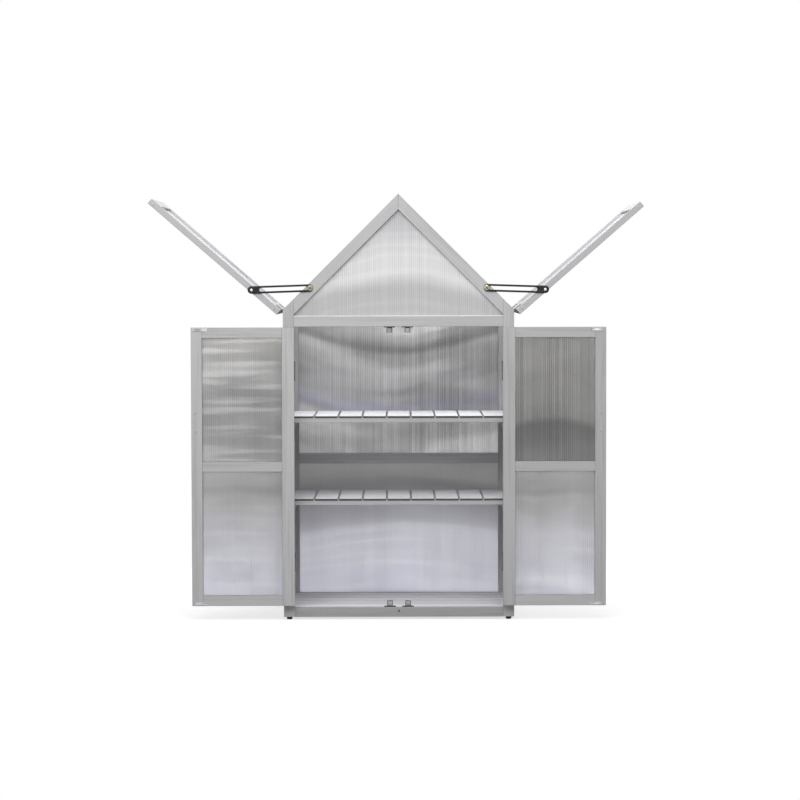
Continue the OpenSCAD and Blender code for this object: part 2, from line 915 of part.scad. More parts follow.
front_post_left();
front_post_right();
front_rafter_left();
front_rafter_right();
front_tie_beam();
front_base_rail();
front_gable_pane();
back_posts();
back_rafters();
back_tie_beam();
back_mid_rail();
back_base_rail();
back_gable_pane();
back_panes();
ridge_bar();
side_stiles("left");  // side_left_stiles
side_rails_of("left");  // side_left_rails
side_panes("left");  // side_left_panes
side_stiles("right");  // side_right_stiles
side_rails_of("right");  // side_right_rails
side_panes("right");  // side_right_panes
floor_boards();
floor_bearers();
shelf_slats();
shelf_rails();
shelf_cleats();
feet();
magnetic_catches();
door_hinge_post_leaves();
roof_hinge_rail_leaves();
hinge_pins();
stay_screws();
frame_screws();
door_stiles("left");  // door_left_stiles
door_rails_of("left");  // door_left_rails
door_panes("left");  // door_left_panes
door_handle("left");  // door_left_handle
door_handle_screws("left");  // door_left_handle_screws
door_strikes("left");  // door_left_strikes
door_hinge_leaves("left");  // door_left_hinge_leaves
door_stiles("right");  // door_right_stiles
door_rails_of("right");  // door_right_rails
door_panes("right");  // door_right_panes
door_handle("right");  // door_right_handle
door_handle_screws("right");  // door_right_handle_screws
door_strikes("right");  // door_right_strikes
door_hinge_leaves("right");  // door_right_hinge_leaves
roof_stiles("left");  // roof_left_stiles
roof_rails_of("left");  // roof_left_rails
roof_pane("left");  // roof_left_pane
roof_hinge_leaves("left");  // roof_left_hinge_leaves
roof_fasteners("left");  // roof_left_fasteners
roof_stiles("right");  // roof_right_stiles
roof_rails_of("right");  // roof_right_rails
roof_pane("right");  // roof_right_pane
roof_hinge_leaves("right");  // roof_right_hinge_leaves
roof_fasteners("right");  // roof_right_fasteners
stay("left");  // stay_left
stay("right");  // stay_right
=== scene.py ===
"""A small greenhouse cabinet of grey-painted wood with twin-wall sheets, dressed round its frame.

The frame's nodes give the place and the size of every piece. The classes here turn them into
sawn boards, ribbed sheets and pressed or turned metal. Lengths are in metres.
"""

import json
import logging
import math
import random
from collections.abc import Iterable
from dataclasses import dataclass, field
from enum import Enum

import bmesh
import bpy
from bmesh.types import BMEdge, BMesh, BMFace, BMVert
from mathutils import Matrix, Vector


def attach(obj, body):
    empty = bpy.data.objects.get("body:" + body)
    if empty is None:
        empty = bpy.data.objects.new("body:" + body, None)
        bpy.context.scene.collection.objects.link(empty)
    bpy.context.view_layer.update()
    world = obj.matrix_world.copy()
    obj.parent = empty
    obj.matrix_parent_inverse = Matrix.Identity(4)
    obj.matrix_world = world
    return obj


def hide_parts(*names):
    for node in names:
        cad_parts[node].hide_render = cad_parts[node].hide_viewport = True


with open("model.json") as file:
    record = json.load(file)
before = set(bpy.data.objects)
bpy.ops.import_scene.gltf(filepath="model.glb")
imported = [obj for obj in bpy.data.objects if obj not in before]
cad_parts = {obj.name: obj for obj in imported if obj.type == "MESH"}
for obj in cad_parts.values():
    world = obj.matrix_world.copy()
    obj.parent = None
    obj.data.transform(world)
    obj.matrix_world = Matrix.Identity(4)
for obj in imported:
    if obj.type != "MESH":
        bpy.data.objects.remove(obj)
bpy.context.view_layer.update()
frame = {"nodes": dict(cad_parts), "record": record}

LOG = logging.getLogger("mini_greenhouse")
MM = 0.001
UP = Vector((0.0, 0.0, 1.0))
AXIS_X = Vector((1.0, 0.0, 0.0))
AXIS_Y = Vector((0.0, 1.0, 0.0))

GRAIN_PLACE = "grain_place"
ARRIS = "arris"
CREST_HIGHLIGHT = "crest"
END_GRAIN = "end_grain"
SHEET_PLACE = "sheet_place"
SHEET_SPAN = "sheet_span"

Colour = tuple[float, float, float]
BODY_OF = {
    node: body
    for body, nodes in frame["record"]["behaviour"]["bodies"].items()
    for node in nodes
}


class Side(Enum):
    """The left and the right of the cabinet, as seen from the front."""

    LEFT = "left"
    RIGHT = "right"


class GrainFrom(Enum):
    """Which edge of a solid shows the run of the grain."""

    LONGEST_EDGE = "longest edge"
    SPLIT_AT_RIDGE = "longest edge of each half, parted at the ridge"


class Graph:
    """Adds nodes to one node tree and links them."""

    def __init__(self, tree: bpy.types.NodeTree) -> None:
        """Keeps the tree that the nodes go into."""
        self.tree = tree

    def add(self, kind: str, **settings: object) -> bpy.types.Node:
        """Adds one node.

        Args:
            kind: The node's type name.
            settings: Values of its own properties.

        Returns:
            The new node.
        """
        node = self.tree.nodes.new(kind)
        for key, value in settings.items():
            setattr(node, key, value)
        return node

    def put(self, value: object, target: bpy.types.NodeSocket) -> None:
        """Links a socket to the target, or writes a plain value on it."""
        if isinstance(value, bpy.types.NodeSocket):
            self.tree.links.new(value, target)
        else:
            target.default_value = value

    def attribute(self, name: str, output: str = "Vector") -> bpy.types.NodeSocket:
        """Reads one of the piece's own attributes."""
        return self.add("ShaderNodeAttribute", attribute_name=name).outputs[output]

    def math(self, operation: str, *values: object, clamp: bool = False) -> bpy.types.NodeSocket:
        """Adds a Math node.

        Args:
            operation: Its operation.
            values: Sockets or numbers, in order.
            clamp: Whether the result is kept between 0 and 1.

        Returns:
            The result socket.
        """
        node = self.add("ShaderNodeMath", operation=operation, use_clamp=clamp)
        for value, target in zip(values, node.inputs):
            self.put(value, target)
        return node.outputs[0]

    def parts(self, vector: bpy.types.NodeSocket) -> bpy.types.NodeOutputs:
        """Parts a vector into its X, Y and Z."""
        node = self.add("ShaderNodeSeparateXYZ")
        self.put(vector, node.inputs[0])
        return node.outputs

    def joined(self, *parts: object) -> bpy.types.NodeSocket:
        """Joins up to three values to a vector."""
        node = self.add("ShaderNodeCombineXYZ")
        for value, target in zip(parts, node.inputs):
            self.put(value, target)
        return node.outputs[0]

    def scaled(self, vector: bpy.types.NodeSocket, by: Colour) -> bpy.types.NodeSocket:
        """Multiplies a vector by another, part by part."""
        node = self.add("ShaderNodeVectorMath", operation="MULTIPLY")
        self.put(vector, node.inputs[0])
        node.inputs[1].default_value = by
        return node.outputs[0]

    def noise(
        self, vector: bpy.types.NodeSocket, scale: float, detail: float = 2.0, rough: float = 0.5
    ) -> bpy.types.NodeSocket:
        """Adds a Noise Texture.

        Args:
            vector: Its coordinates.
            scale: Its scale.
            detail: Its octaves.
            rough: The weight of each finer octave.

        Returns:
            Its factor.
        """
        node = self.add("ShaderNodeTexNoise")
        self.put(vector, node.inputs["Vector"])
        node.inputs["Scale"].default_value = scale
        node.inputs["Detail"].default_value = detail
        node.inputs["Roughness"].default_value = rough
        return node.outputs[0]

    def spread(
        self,
        value: bpy.types.NodeSocket,
        source: tuple[float, float],
        target: tuple[float, float] = (0.0, 1.0),
    ) -> bpy.types.NodeSocket:
        """Maps a range of values smoothly onto another.

        Args:
            value: The value to map.
            source: The range that it is taken from.
            target: The range that it comes to.

        Returns:
            The mapped value.
        """
        node = self.add("ShaderNodeMapRange", interpolation_type="SMOOTHSTEP")
        self.put(value, node.inputs["Value"])
        node.inputs["From Min"].default_value = source[0]
        node.inputs["From Max"].default_value = source[1]
        node.inputs["To Min"].default_value = target[0]
        node.inputs["To Max"].default_value = target[1]
        return node.outputs["Result"]

    def mixed(self, factor: object, first: object, second: object) -> bpy.types.NodeSocket:
        """Mixes two colours.

        Args:
            factor: How much of the second, as a socket or a number.
            first: A colour or a socket.
            second: A colour or a socket.

        Returns:
            The mixed colour.
        """
        node = self.add("ShaderNodeMix", data_type="RGBA")
        self.put(factor, node.inputs[0])
        for value, target in ((first, node.inputs[6]), (second, node.inputs[7])):
            self.put(value if isinstance(value, bpy.types.NodeSocket) else (*value, 1.0), target)
        return node.outputs[2]

    def ramp(
        self, value: bpy.types.NodeSocket, stops: tuple[tuple[float, Colour], ...]
    ) -> bpy.types.NodeSocket:
        """Turns a value into a colour.

        Args:
            value: The value, from 0 to 1.
            stops: The places of the colours and the colours, in order.

        Returns:
            The colour.
        """
        node = self.add("ShaderNodeValToRGB")
        self.put(value, node.inputs[0])
        node.color_ramp.interpolation = "EASE"
        elements = node.color_ramp.elements
        for _ in stops[2:]:
            elements.new(0.5)
        for element, (place, colour) in zip(elements, stops):
            element.position = place
            element.color = (*colour, 1.0)
        return node.outputs[0]

    def centred(self, value: bpy.types.NodeSocket) -> bpy.types.NodeSocket:
        """Moves a value from 0 to 1 to one from -1 to 1."""
        return self.math("MULTIPLY_ADD", value, 2.0, -1.0)

    def dimmed(
        self, colour: bpy.types.NodeSocket, gain: bpy.types.NodeSocket
    ) -> bpy.types.NodeSocket:
        """Multiplies a colour by a number."""
        node = self.add("ShaderNodeVectorMath", operation="SCALE")
        self.put(colour, node.inputs[0])
        self.put(gain, node.inputs["Scale"])
        return node.outputs[0]

    def bump(self, height: bpy.types.NodeSocket, depth: float) -> bpy.types.NodeSocket:
        """Turns a height into a normal."""
        node = self.add("ShaderNodeBump")
        node.inputs["Strength"].default_value = 1.0
        node.inputs["Distance"].default_value = depth
        self.put(height, node.inputs["Height"])
        return node.outputs[0]

    def principled(self, **values: object) -> bpy.types.Node:
        """Adds a Principled shader and the output that it feeds.

        Args:
            values: Its inputs, with underscores for the spaces in their names.

        Returns:
            The shader.
        """
        shader = self.add("ShaderNodeBsdfPrincipled")
        output = self.add("ShaderNodeOutputMaterial")
        self.put(shader.outputs[0], output.inputs["Surface"])
        for key, value in values.items():
            self.put(value, shader.inputs[key.replace("_", " ")])
        return shader


class Effect:
    """An effect that several finishes share, as one node group."""

    title = ""
    takes: dict[str, str] = {}
    gives: dict[str, str] = {}

    def wire(self, graph: Graph, taken: bpy.types.NodeInputs, given: bpy.types.NodeInputs) -> None:
        """Fills the group. Each effect has its own."""
        raise NotImplementedError

    def tree(self) -> bpy.types.NodeTree:
        """Builds the group once.

        Returns:
            The group's node tree.
        """
        made = bpy.data.node_groups.get(self.title)
        if made is None:
            made = bpy.data.node_groups.new(self.title, "ShaderNodeTree")
            for name, kind in self.takes.items():
                made.interface.new_socket(name=name, in_out="INPUT", socket_type=kind)
            for name, kind in self.gives.items():
                made.interface.new_socket(name=name, in_out="OUTPUT", socket_type=kind)
            graph = Graph(made)
            taken = graph.add("NodeGroupInput").outputs
            given = graph.add("NodeGroupOutput").inputs
            self.wire(graph, taken, given)
        return made

    def place(self, graph: Graph, **values: object) -> bpy.types.NodeOutputs:
        """Puts the group into a material.

        Args:
            graph: The material's graph.
            values: The group's inputs.

        Returns:
            The group node's outputs.
        """
        node = graph.add("ShaderNodeGroup")
        node.node_tree = self.tree()
        for key, value in values.items():
            graph.put(value, node.inputs[key])
        return node.outputs


class WoodGrain(Effect):
    """Streaks along the board, a broader figure, and the tone of the whole board."""

    title = "Wood grain"
    takes = {"Place": "NodeSocketVector"}
    gives = {
        "Streaks": "NodeSocketFloat",
        "Figure": "NodeSocketFloat",
        "Board": "NodeSocketFloat",
        "Specks": "NodeSocketFloat",
    }

    def wire(self, graph: Graph, taken: bpy.types.NodeInputs, given: bpy.types.NodeInputs) -> None:
        """Stretches noise along the first axis of the place."""
        place = taken["Place"]
        streaks = graph.noise(graph.scaled(place, (5.0, 260.0, 260.0)), 1.0, 4.0, 0.6)
        figure = graph.noise(graph.scaled(place, (2.2, 34.0, 34.0)), 1.0, 2.0)
        board = graph.noise(graph.scaled(place, (0.3, 0.3, 0.3)), 1.0, 0.0)
        specks = graph.noise(place, 420.0, 1.0)
        graph.put(graph.spread(streaks, (0.35, 0.68)), given["Streaks"])
        graph.put(graph.spread(figure, (0.36, 0.66)), given["Figure"])
        graph.put(graph.spread(board, (0.3, 0.7)), given["Board"])
        graph.put(graph.spread(specks, (0.62, 0.74)), given["Specks"])


class Grime(Effect):
    """Soft clouds and small specks of dust on a hard surface."""

    title = "Grime"
    takes = {"Place": "NodeSocketVector"}
    gives = {"Clouds": "NodeSocketFloat", "Dust": "NodeSocketFloat"}

    def wire(self, graph: Graph, taken: bpy.types.NodeInputs, given: bpy.types.NodeInputs) -> None:
        """Takes a coarse and a fine noise of the same place."""
        clouds = graph.noise(taken["Place"], 22.0, 3.0)
        dust = graph.noise(taken["Place"], 900.0, 2.0, 0.6)
        graph.put(graph.spread(clouds, (0.35, 0.7)), given["Clouds"])
        graph.put(graph.spread(dust, (0.5, 0.8)), given["Dust"])


class Flutes(Effect):
    """The cells of a twin-wall sheet, and the painted reflections, in bands and streaks, across
    them.
    """

    title = "Flutes"
    takes = {
        "Place": "NodeSocketVector",
        "Span": "NodeSocketVector",
        "Bow": "NodeSocketFloat",
        "Wander": "NodeSocketFloat",
    }
    gives = {
        "Web": "NodeSocketFloat",
        "Cell": "NodeSocketFloat",
        "Swell": "NodeSocketFloat",
        "Reflection bands": "NodeSocketFloat",
        "Streaks": "NodeSocketFloat",
        "Rise": "NodeSocketFloat",
    }

    def wire(self, graph: Graph, taken: bpy.types.NodeInputs, given: bpy.types.NodeInputs) -> None:
        """Finds the webs between the cells, and gives each cell a tone of its own."""
        place = graph.parts(taken["Place"])
        span = graph.parts(taken["Span"])
        from_web = graph.math("PINGPONG", place["X"], 0.5)
        cell = graph.math("ROUND", place["X"])
        tone = graph.add("ShaderNodeTexWhiteNoise", noise_dimensions="2D")
        graph.put(graph.joined(cell, place["Z"]), tone.inputs["Vector"])
        number = graph.math("MULTIPLY", place["Z"], 3.7)
        swell = graph.noise(graph.joined(graph.math("MULTIPLY", place["X"], 0.09), number), 1.0)
        # The rise bows and wanders, so that the light, shade and reflections painted along it
        # curve.
        sag = graph.math("MULTIPLY", graph.math("MULTIPLY", span["X"], span["X"]), taken["Bow"])
        across = graph.math("MULTIPLY", span["X"], 0.8)
        wander = graph.noise(graph.joined(across, span["Y"], number), 1.6, 1.0)
        wander = graph.math("MULTIPLY", graph.centred(wander), taken["Wander"])
        rise = graph.math("ADD", graph.math("SUBTRACT", span["Y"], sag), wander)
        # Painted reflections: soft bands and fine streaks that run across the sheet.
        reflection_bands = graph.noise(graph.joined(across, graph.math("MULTIPLY", rise, 4.6), number), 1.0)
        fine = graph.math("MULTIPLY", rise, 15.0)
        slow = graph.math("MULTIPLY", span["X"], 0.3)
        streaks = graph.noise(graph.joined(slow, fine, number), 1.0, 1.0)
        graph.put(graph.spread(from_web, (0.34, 0.1)), given["Web"])
        graph.put(tone.outputs["Value"], given["Cell"])
        graph.put(graph.spread(swell, (0.34, 0.62)), given["Swell"])
        graph.put(graph.spread(reflection_bands, (0.34, 0.64)), given["Reflection bands"])
        graph.put(graph.spread(streaks, (0.5, 0.68)), given["Streaks"])
        graph.put(rise, given["Rise"])


@dataclass(frozen=True)
class Finish:
    """What every finish has: its name and the record's slot that it belongs to."""

    name: str
    slot: str

    def paint(self, graph: Graph) -> None:
        """Fills the material's graph. Each finish has its own."""
        raise NotImplementedError

    def material(self) -> bpy.types.Material:
        """Builds the material once.

        Returns:
            The finish's material.
        """
        made = bpy.data.materials.get(self.name)
        if made is None:
            made = bpy.data.materials.new(self.name)
            made.use_nodes = True
            made.node_tree.nodes.clear()
            self.paint(Graph(made.node_tree))
        return made


@dataclass(frozen=True)
class PaintedWood(Finish):
    """Thin paint on sawn softwood, with the grain showing through."""

    paint_colour: Colour
    grain_colour: Colour
    # End grain, and on the slats' front ends painted shade as well.
    end_grain_and_shade_colour: Colour
    # Arrises darken by this colour as dirt in the joints and as painted shade in the gaps.
    joint_dirt_and_shade_colour: Colour
    # A painted highlight on the planed crest of a rail.
    crest_highlight_colour: Colour = (0.80, 0.80, 0.80)
    grain_share: float = 0.42
    joint_dirt_and_shade_share: float = 0.5
    roughness: float = 0.62

    def paint(self, graph: Graph) -> None:
        """Runs the grain, darkens ends and arrises partly as painted shade, and paints a highlight
        on the crest.
        """
        place = graph.attribute(GRAIN_PLACE)
        grain = WoodGrain().place(graph, Place=place)
        streaks = graph.math("MULTIPLY", grain["Streaks"], grain["Figure"])
        share = graph.math("MULTIPLY_ADD", streaks, self.grain_share, 0.04)
        share = graph.math("MULTIPLY_ADD", grain["Board"], 0.22, share)
        colour = graph.mixed(share, self.paint_colour, self.grain_colour)
        colour = graph.mixed(
            graph.math("MULTIPLY", grain["Specks"], 0.25), colour, self.grain_colour
        )
        # End grain, with painted shade on the slats' front ends.
        colour = graph.mixed(graph.attribute(END_GRAIN, "Fac"), colour, self.end_grain_and_shade_colour)
        # Painted shade and joint dirt on the arrises.
        joint_dirt_and_shade = graph.math("MULTIPLY", graph.attribute(ARRIS, "Fac"), self.joint_dirt_and_shade_share)
        colour = graph.mixed(joint_dirt_and_shade, colour, self.joint_dirt_and_shade_colour)
        # Painted highlight on the planed crest.
        colour = graph.mixed(graph.attribute(CREST_HIGHLIGHT, "Fac"), colour, self.crest_highlight_colour)
        rough = graph.math("MULTIPLY_ADD", streaks, 0.16, self.roughness)
        graph.principled(
            Base_Color=colour,
            Roughness=rough,
            Normal=graph.bump(grain["Streaks"], 0.08 * MM),
            Specular_IOR_Level=0.2,
        )


@dataclass(frozen=True)
class TwinWallSkin(Finish):
    """Milky twin-wall polycarbonate, lined by its webs, with painted light, shade and reflections.
    """

    # Painted light, shade and reflections, as colours from the foot of the sheet up.
    tones: tuple[tuple[float, Colour], ...]
    bow: float = 0.0
    wander: float = 0.03
    web_gain: float = 0.13
    cell_gain: float = 0.03
    # Strengths of the painted reflection bands and streaks.
    reflection_band_gain: float = 0.04
    reflection_streak_gain: float = 0.05
    milk: float = 0.09
    roughness: float = 0.3
    gloss: float = 0.5

    def paint(self, graph: Graph) -> None:
        """Lays tones of painted light and shade up the sheet, and the lines of the webs over them.
        """
        flutes = Flutes().place(
            graph,
            Place=graph.attribute(SHEET_PLACE),
            Span=graph.attribute(SHEET_SPAN),
            Bow=self.bow,
            Wander=self.wander,
        )
        # Painted light, shade and reflections, laid up the sheet.
        colour = graph.ramp(flutes["Rise"], self.tones)
        depth = graph.math("MULTIPLY_ADD", flutes["Swell"], 0.7, 0.3)
        depth = graph.math("MULTIPLY", depth, self.web_gain)
        gain = graph.math("MULTIPLY_ADD", graph.centred(flutes["Web"]), depth, 1.0)
        gain = graph.math("MULTIPLY_ADD", graph.centred(flutes["Cell"]), self.cell_gain, gain)
        # Painted reflections: soft bands and fine streaks.
        gain = graph.math("MULTIPLY_ADD", graph.centred(flutes["Reflection bands"]), self.reflection_band_gain, gain)
        gain = graph.math("MULTIPLY_ADD", flutes["Streaks"], self.reflection_streak_gain, gain)
        rough = graph.math("MULTIPLY_ADD", flutes["Swell"], 0.08, self.roughness)
        graph.principled(
            Base_Color=graph.dimmed(colour, gain),
            Roughness=rough,
            IOR=1.58,
            Transmission_Weight=1.0 - self.milk,
            Specular_IOR_Level=self.gloss,
        )


@dataclass(frozen=True)
class MilkyWeb(Finish):
    """The thin webs between the skins of a sheet."""

    colour: Colour
    dull_colour: Colour
    roughness: float = 0.4

    def paint(self, graph: Graph) -> None:
        """Darkens the webs a little along the painted reflection bands."""
        flutes = Flutes().place(
            graph,
            Place=graph.attribute(SHEET_PLACE),
            Span=graph.attribute(SHEET_SPAN),
        )
        graph.principled(
            Base_Color=graph.mixed(flutes["Reflection bands"], self.colour, self.dull_colour),
            Roughness=self.roughness,
        )


@dataclass(frozen=True)
class BareMetal(Finish):
    """Plated or blackened steel, with faint clouds and dust."""

    colour: Colour
    dull_colour: Colour
    metallic: float = 1.0
    roughness: float = 0.32
    cloud_share: float = 0.45
    gloss: float = 0.5

    def paint(self, graph: Graph) -> None:
        """Dulls the metal in soft clouds."""
        place = graph.add("ShaderNodeTexCoord").outputs["Object"]
        grime = Grime().place(graph, Place=place)
        cloud = graph.math("MULTIPLY", grime["Clouds"], self.cloud_share)
        dust = graph.math("MULTIPLY_ADD", grime["Dust"], 0.1, self.roughness)
        graph.principled(
            Base_Color=graph.mixed(cloud, self.colour, self.dull_colour),
            Metallic=self.metallic,
            Roughness=graph.math("MULTIPLY_ADD", cloud, 0.3, dust),
            Specular_IOR_Level=self.gloss,
        )


@dataclass(frozen=True)
class MouldedPlastic(Finish):
    """Plain moulded plastic with a fine texture."""

    colour: Colour
    dust_colour: Colour
    roughness: float = 0.5

    def paint(self, graph: Graph) -> None:
        """Lets a little dust lie on the plastic."""
        place = graph.add("ShaderNodeTexCoord").outputs["Object"]
        grime = Grime().place(graph, Place=place)
        dust = graph.math("MULTIPLY", grime["Dust"], 0.35)
        graph.principled(
            Base_Color=graph.mixed(dust, self.colour, self.dust_colour),
            Roughness=graph.math("MULTIPLY_ADD", grime["Clouds"], 0.15, self.roughness),
            Normal=graph.bump(grime["Dust"], 0.05 * MM),
            Specular_IOR_Level=0.2,
        )


GREY_PAINT = PaintedWood(
    "Grey painted wood",
    "painted_wood",
    paint_colour=(0.595, 0.595, 0.60),
    grain_colour=(0.36, 0.36, 0.36),
    end_grain_and_shade_colour=(0.36, 0.355, 0.345),
    joint_dirt_and_shade_colour=(0.26, 0.26, 0.265),
)
# A darker copy of the grey paint: painted shade on the base rail, low in the light.
SHADED_BASE_PAINT = PaintedWood(
    "Grey paint shaded on the base rail",
    "painted_wood",
    paint_colour=(0.485, 0.485, 0.49),
    grain_colour=(0.29, 0.29, 0.29),
    end_grain_and_shade_colour=(0.33, 0.325, 0.315),
    joint_dirt_and_shade_colour=(0.24, 0.24, 0.245),
)
SLAT_PAINT = PaintedWood(
    "Pale painted slats",
    "bare_slats",
    paint_colour=(0.93, 0.93, 0.96),
    grain_colour=(0.74, 0.74, 0.76),
    # Near black: painted shade on the slats' front ends, over the end grain.
    end_grain_and_shade_colour=(0.10, 0.095, 0.09),
    # Near black: painted shadow in the gaps between the slats, with dirt in the joints.
    joint_dirt_and_shade_colour=(0.08, 0.08, 0.085),
    grain_share=0.25,
    joint_dirt_and_shade_share=0.85,
)
FLOOR_PAINT = PaintedWood(
    "Pale painted floor boards",
    "bare_slats",
    paint_colour=(0.93, 0.93, 0.96),
    grain_colour=(0.78, 0.78, 0.80),
    end_grain_and_shade_colour=(0.40, 0.40, 0.41),
    joint_dirt_and_shade_colour=(0.34, 0.34, 0.35),
    grain_share=0.2,
)
# Each sheet's tones are painted light, shade and reflections of the surround, laid up the sheet.
GABLE_SHEET = TwinWallSkin(
    "Gable sheet",
    "polycarbonate",
    # Painted light, shade and reflections up the gable sheet.
    tones=(
        (0.0, (0.72, 0.72, 0.725)),
        (0.28, (0.68, 0.68, 0.685)),
        (0.42, (0.93, 0.93, 0.94)),
        (0.7, (0.86, 0.86, 0.87)),
        (0.92, (0.66, 0.66, 0.68)),
    ),
    bow=-0.25,
    wander=0.08,
    web_gain=0.12,
    cell_gain=0.04,
    milk=0.72,
)
ROOF_SHEET = TwinWallSkin(
    "Roof sheet",
    "polycarbonate",
    # Painted light and shade up the roof sheet.
    tones=((0.0, (0.66, 0.67, 0.72)), (1.0, (0.72, 0.73, 0.77))),
    web_gain=0.06,
    cell_gain=0.02,
    milk=0.75,
    roughness=0.5,
    gloss=0.1,
)
DOOR_UPPER_LEFT = TwinWallSkin(
    "Upper left door sheet",
    "polycarbonate",
    # Painted light and reflections up the left door's upper sheet; its strong streaks are painted
    # reflections.
    tones=(
        (0.0, (0.58, 0.58, 0.58)),
        (0.5, (0.59, 0.59, 0.59)),
        (0.7, (0.66, 0.66, 0.655)),
        (1.0, (0.73, 0.725, 0.71)),
    ),
    wander=0.01,
    reflection_band_gain=0.06,
    reflection_streak_gain=0.26,
)
DOOR_UPPER_RIGHT = TwinWallSkin(
    "Upper right door sheet",
    "polycarbonate",
    # Painted shade and reflections up the right door's upper sheet, with a dark painted band low
    # down.
    tones=(
        (0.0, (0.47, 0.47, 0.47)),
        (0.30, (0.36, 0.36, 0.36)),
        (0.38, (0.51, 0.508, 0.50)),
        (1.0, (0.58, 0.578, 0.565)),
    ),
    bow=-0.05,
    web_gain=0.26,
    cell_gain=0.12,
    reflection_streak_gain=0.0,
)
DOOR_LOWER = TwinWallSkin(
    "Lower door sheet",
    "polycarbonate",
    # Painted light and reflections up the lower door sheets, palest and bluest at the foot.
    tones=(
        (0.0, (0.90, 0.90, 0.955)),
        (0.45, (0.82, 0.82, 0.85)),
        (0.78, (0.70, 0.70, 0.70)),
        (0.84, (0.62, 0.62, 0.62)),
        (1.0, (0.70, 0.70, 0.70)),
    ),
    web_gain=0.09,
    cell_gain=0.02,
)
BACK_UPPER = TwinWallSkin(
    "Upper back sheet",
    "polycarbonate",
    # Painted light, shade and reflections up the upper back sheet, with dark painted bands.
    tones=(
        (0.0, (0.76, 0.76, 0.76)),
        (0.22, (0.70, 0.70, 0.705)),
        (0.33, (0.60, 0.60, 0.665)),
        (0.42, (0.59, 0.59, 0.595)),
        (0.74, (0.71, 0.71, 0.71)),
        (0.79, (0.56, 0.56, 0.56)),
        (0.88, (0.70, 0.70, 0.705)),
        (0.94, (0.86, 0.86, 0.86)),
    ),
    bow=0.16,
    wander=0.07,
    web_gain=0.2,
    cell_gain=0.09,
    reflection_band_gain=0.13,
    reflection_streak_gain=0.0,
)
BACK_LOWER = TwinWallSkin(
    "Lower back sheet",
    "polycarbonate",
    # Painted light and shade up the lower back sheet, pale at the foot and darker higher up.
    tones=(
        (0.0, (0.88, 0.88, 0.95)),
        (0.45, (0.87, 0.87, 0.91)),
        (0.66, (0.66, 0.66, 0.69)),
        (0.84, (0.44, 0.44, 0.45)),
        (0.95, (0.56, 0.56, 0.56)),
    ),
    bow=-0.08,
    web_gain=0.07,
    cell_gain=0.015,
)
SIDE_SHEET = TwinWallSkin(
    "Side sheet",
    "polycarbonate",
    # Painted light and shade up the side sheets, paler towards the top.
    tones=((0.0, (0.67, 0.67, 0.69)), (1.0, (0.93, 0.93, 0.96))),
)
WEB = MilkyWeb(
    "Webs between the skins",
    "polycarbonate",
    colour=(0.62, 0.62, 0.65),
    dull_colour=(0.50, 0.50, 0.52),
)
BLACK_STEEL = BareMetal(
    "Satin black steel",
    "black_steel",
    colour=(0.012, 0.012, 0.013),
    dull_colour=(0.022, 0.022, 0.024),
    metallic=0.0,
    roughness=0.42,
    gloss=0.22,
)
ZINC = BareMetal(
    "Dull zinc",
    "zinc_steel",
    colour=(0.56, 0.565, 0.58),
    dull_colour=(0.38, 0.385, 0.40),
    roughness=0.5,
)
STRIKE_PLATE = BareMetal(
    "Strike plate",
    "zinc_steel",
    colour=(0.58, 0.585, 0.59),
    dull_colour=(0.20, 0.20, 0.205),
    roughness=0.48,
    cloud_share=0.8,
)
# Darkened well below plated steel: painted shade, standing for the shaded gap behind the hinges.
HINGE_STEEL = BareMetal(
    "Hinge steel",
    "zinc_steel",
    colour=(0.17, 0.165, 0.16),
    dull_colour=(0.10, 0.10, 0.10),
    roughness=0.5,
)
DARK_ZINC = BareMetal(
    "Dark zinc",
    "zinc_steel",
    colour=(0.15, 0.155, 0.17),
    dull_colour=(0.09, 0.09, 0.10),
    roughness=0.48,
)
YELLOW_ZINC = BareMetal(
    "Yellow zinc",
    "yellow_zinc",
    colour=(0.46, 0.41, 0.28),
    dull_colour=(0.20, 0.17, 0.11),
    roughness=0.38,
    cloud_share=0.7,
)
RECESS = BareMetal(
    "Shaded recess",
    "yellow_zinc",
    colour=(0.11, 0.095, 0.07),
    dull_colour=(0.06, 0.055, 0.045),
    roughness=0.6,
)
CATCH_STEEL = BareMetal(
    "Catch housing",
    "catch_steel",
    colour=(0.07, 0.07, 0.075),
    dull_colour=(0.04, 0.04, 0.045),
    roughness=0.5,
)
MAGNET = BareMetal(
    "Catch plate",
    "catch_steel",
    colour=(0.36, 0.36, 0.36),
    dull_colour=(0.22, 0.22, 0.22),
    roughness=0.45,
)
FOOT_PLASTIC = MouldedPlastic(
    "Black foot plastic",
    "foot_plastic",
    colour=(0.015, 0.015, 0.015),
    dust_colour=(0.06, 0.06, 0.06),
)


def cad_copy(node: str) -> BMesh:
    """Copies a CAD node's mesh, merges its loose triangles and joins its flat faces.

    Args:
        node: The node's name.

    Returns:
        The copy, with the attribute layers that a board needs.
    """
    bm = bmesh.new()
    bm.from_mesh(frame["nodes"][node].data)
    bmesh.ops.remove_doubles(bm, verts=bm.verts, dist=0.001 * MM)
    bmesh.ops.dissolve_limit(
        bm, angle_limit=math.radians(0.5), verts=bm.verts, edges=bm.edges, delimit={"NORMAL"}
    )
    return bm


def solids(bm: BMesh) -> list[list[BMVert]]:
    """Parts a mesh into its loose solids.

    Args:
        bm: The mesh.

    Returns:
        The vertices of each solid, from left to right and from low to high.
    """
    left = set(bm.verts)
    found = []
    while left:
        start = next(iter(left))
        left.discard(start)
        group = [start]
        for vert in group:
            for edge in vert.link_edges:
                other = edge.other_vert(vert)
                if other in left:
                    left.discard(other)
                    group.append(other)
        found.append(group)
    return sorted(found, key=lambda group: tuple(round(x, 4) for x in middle(group)))


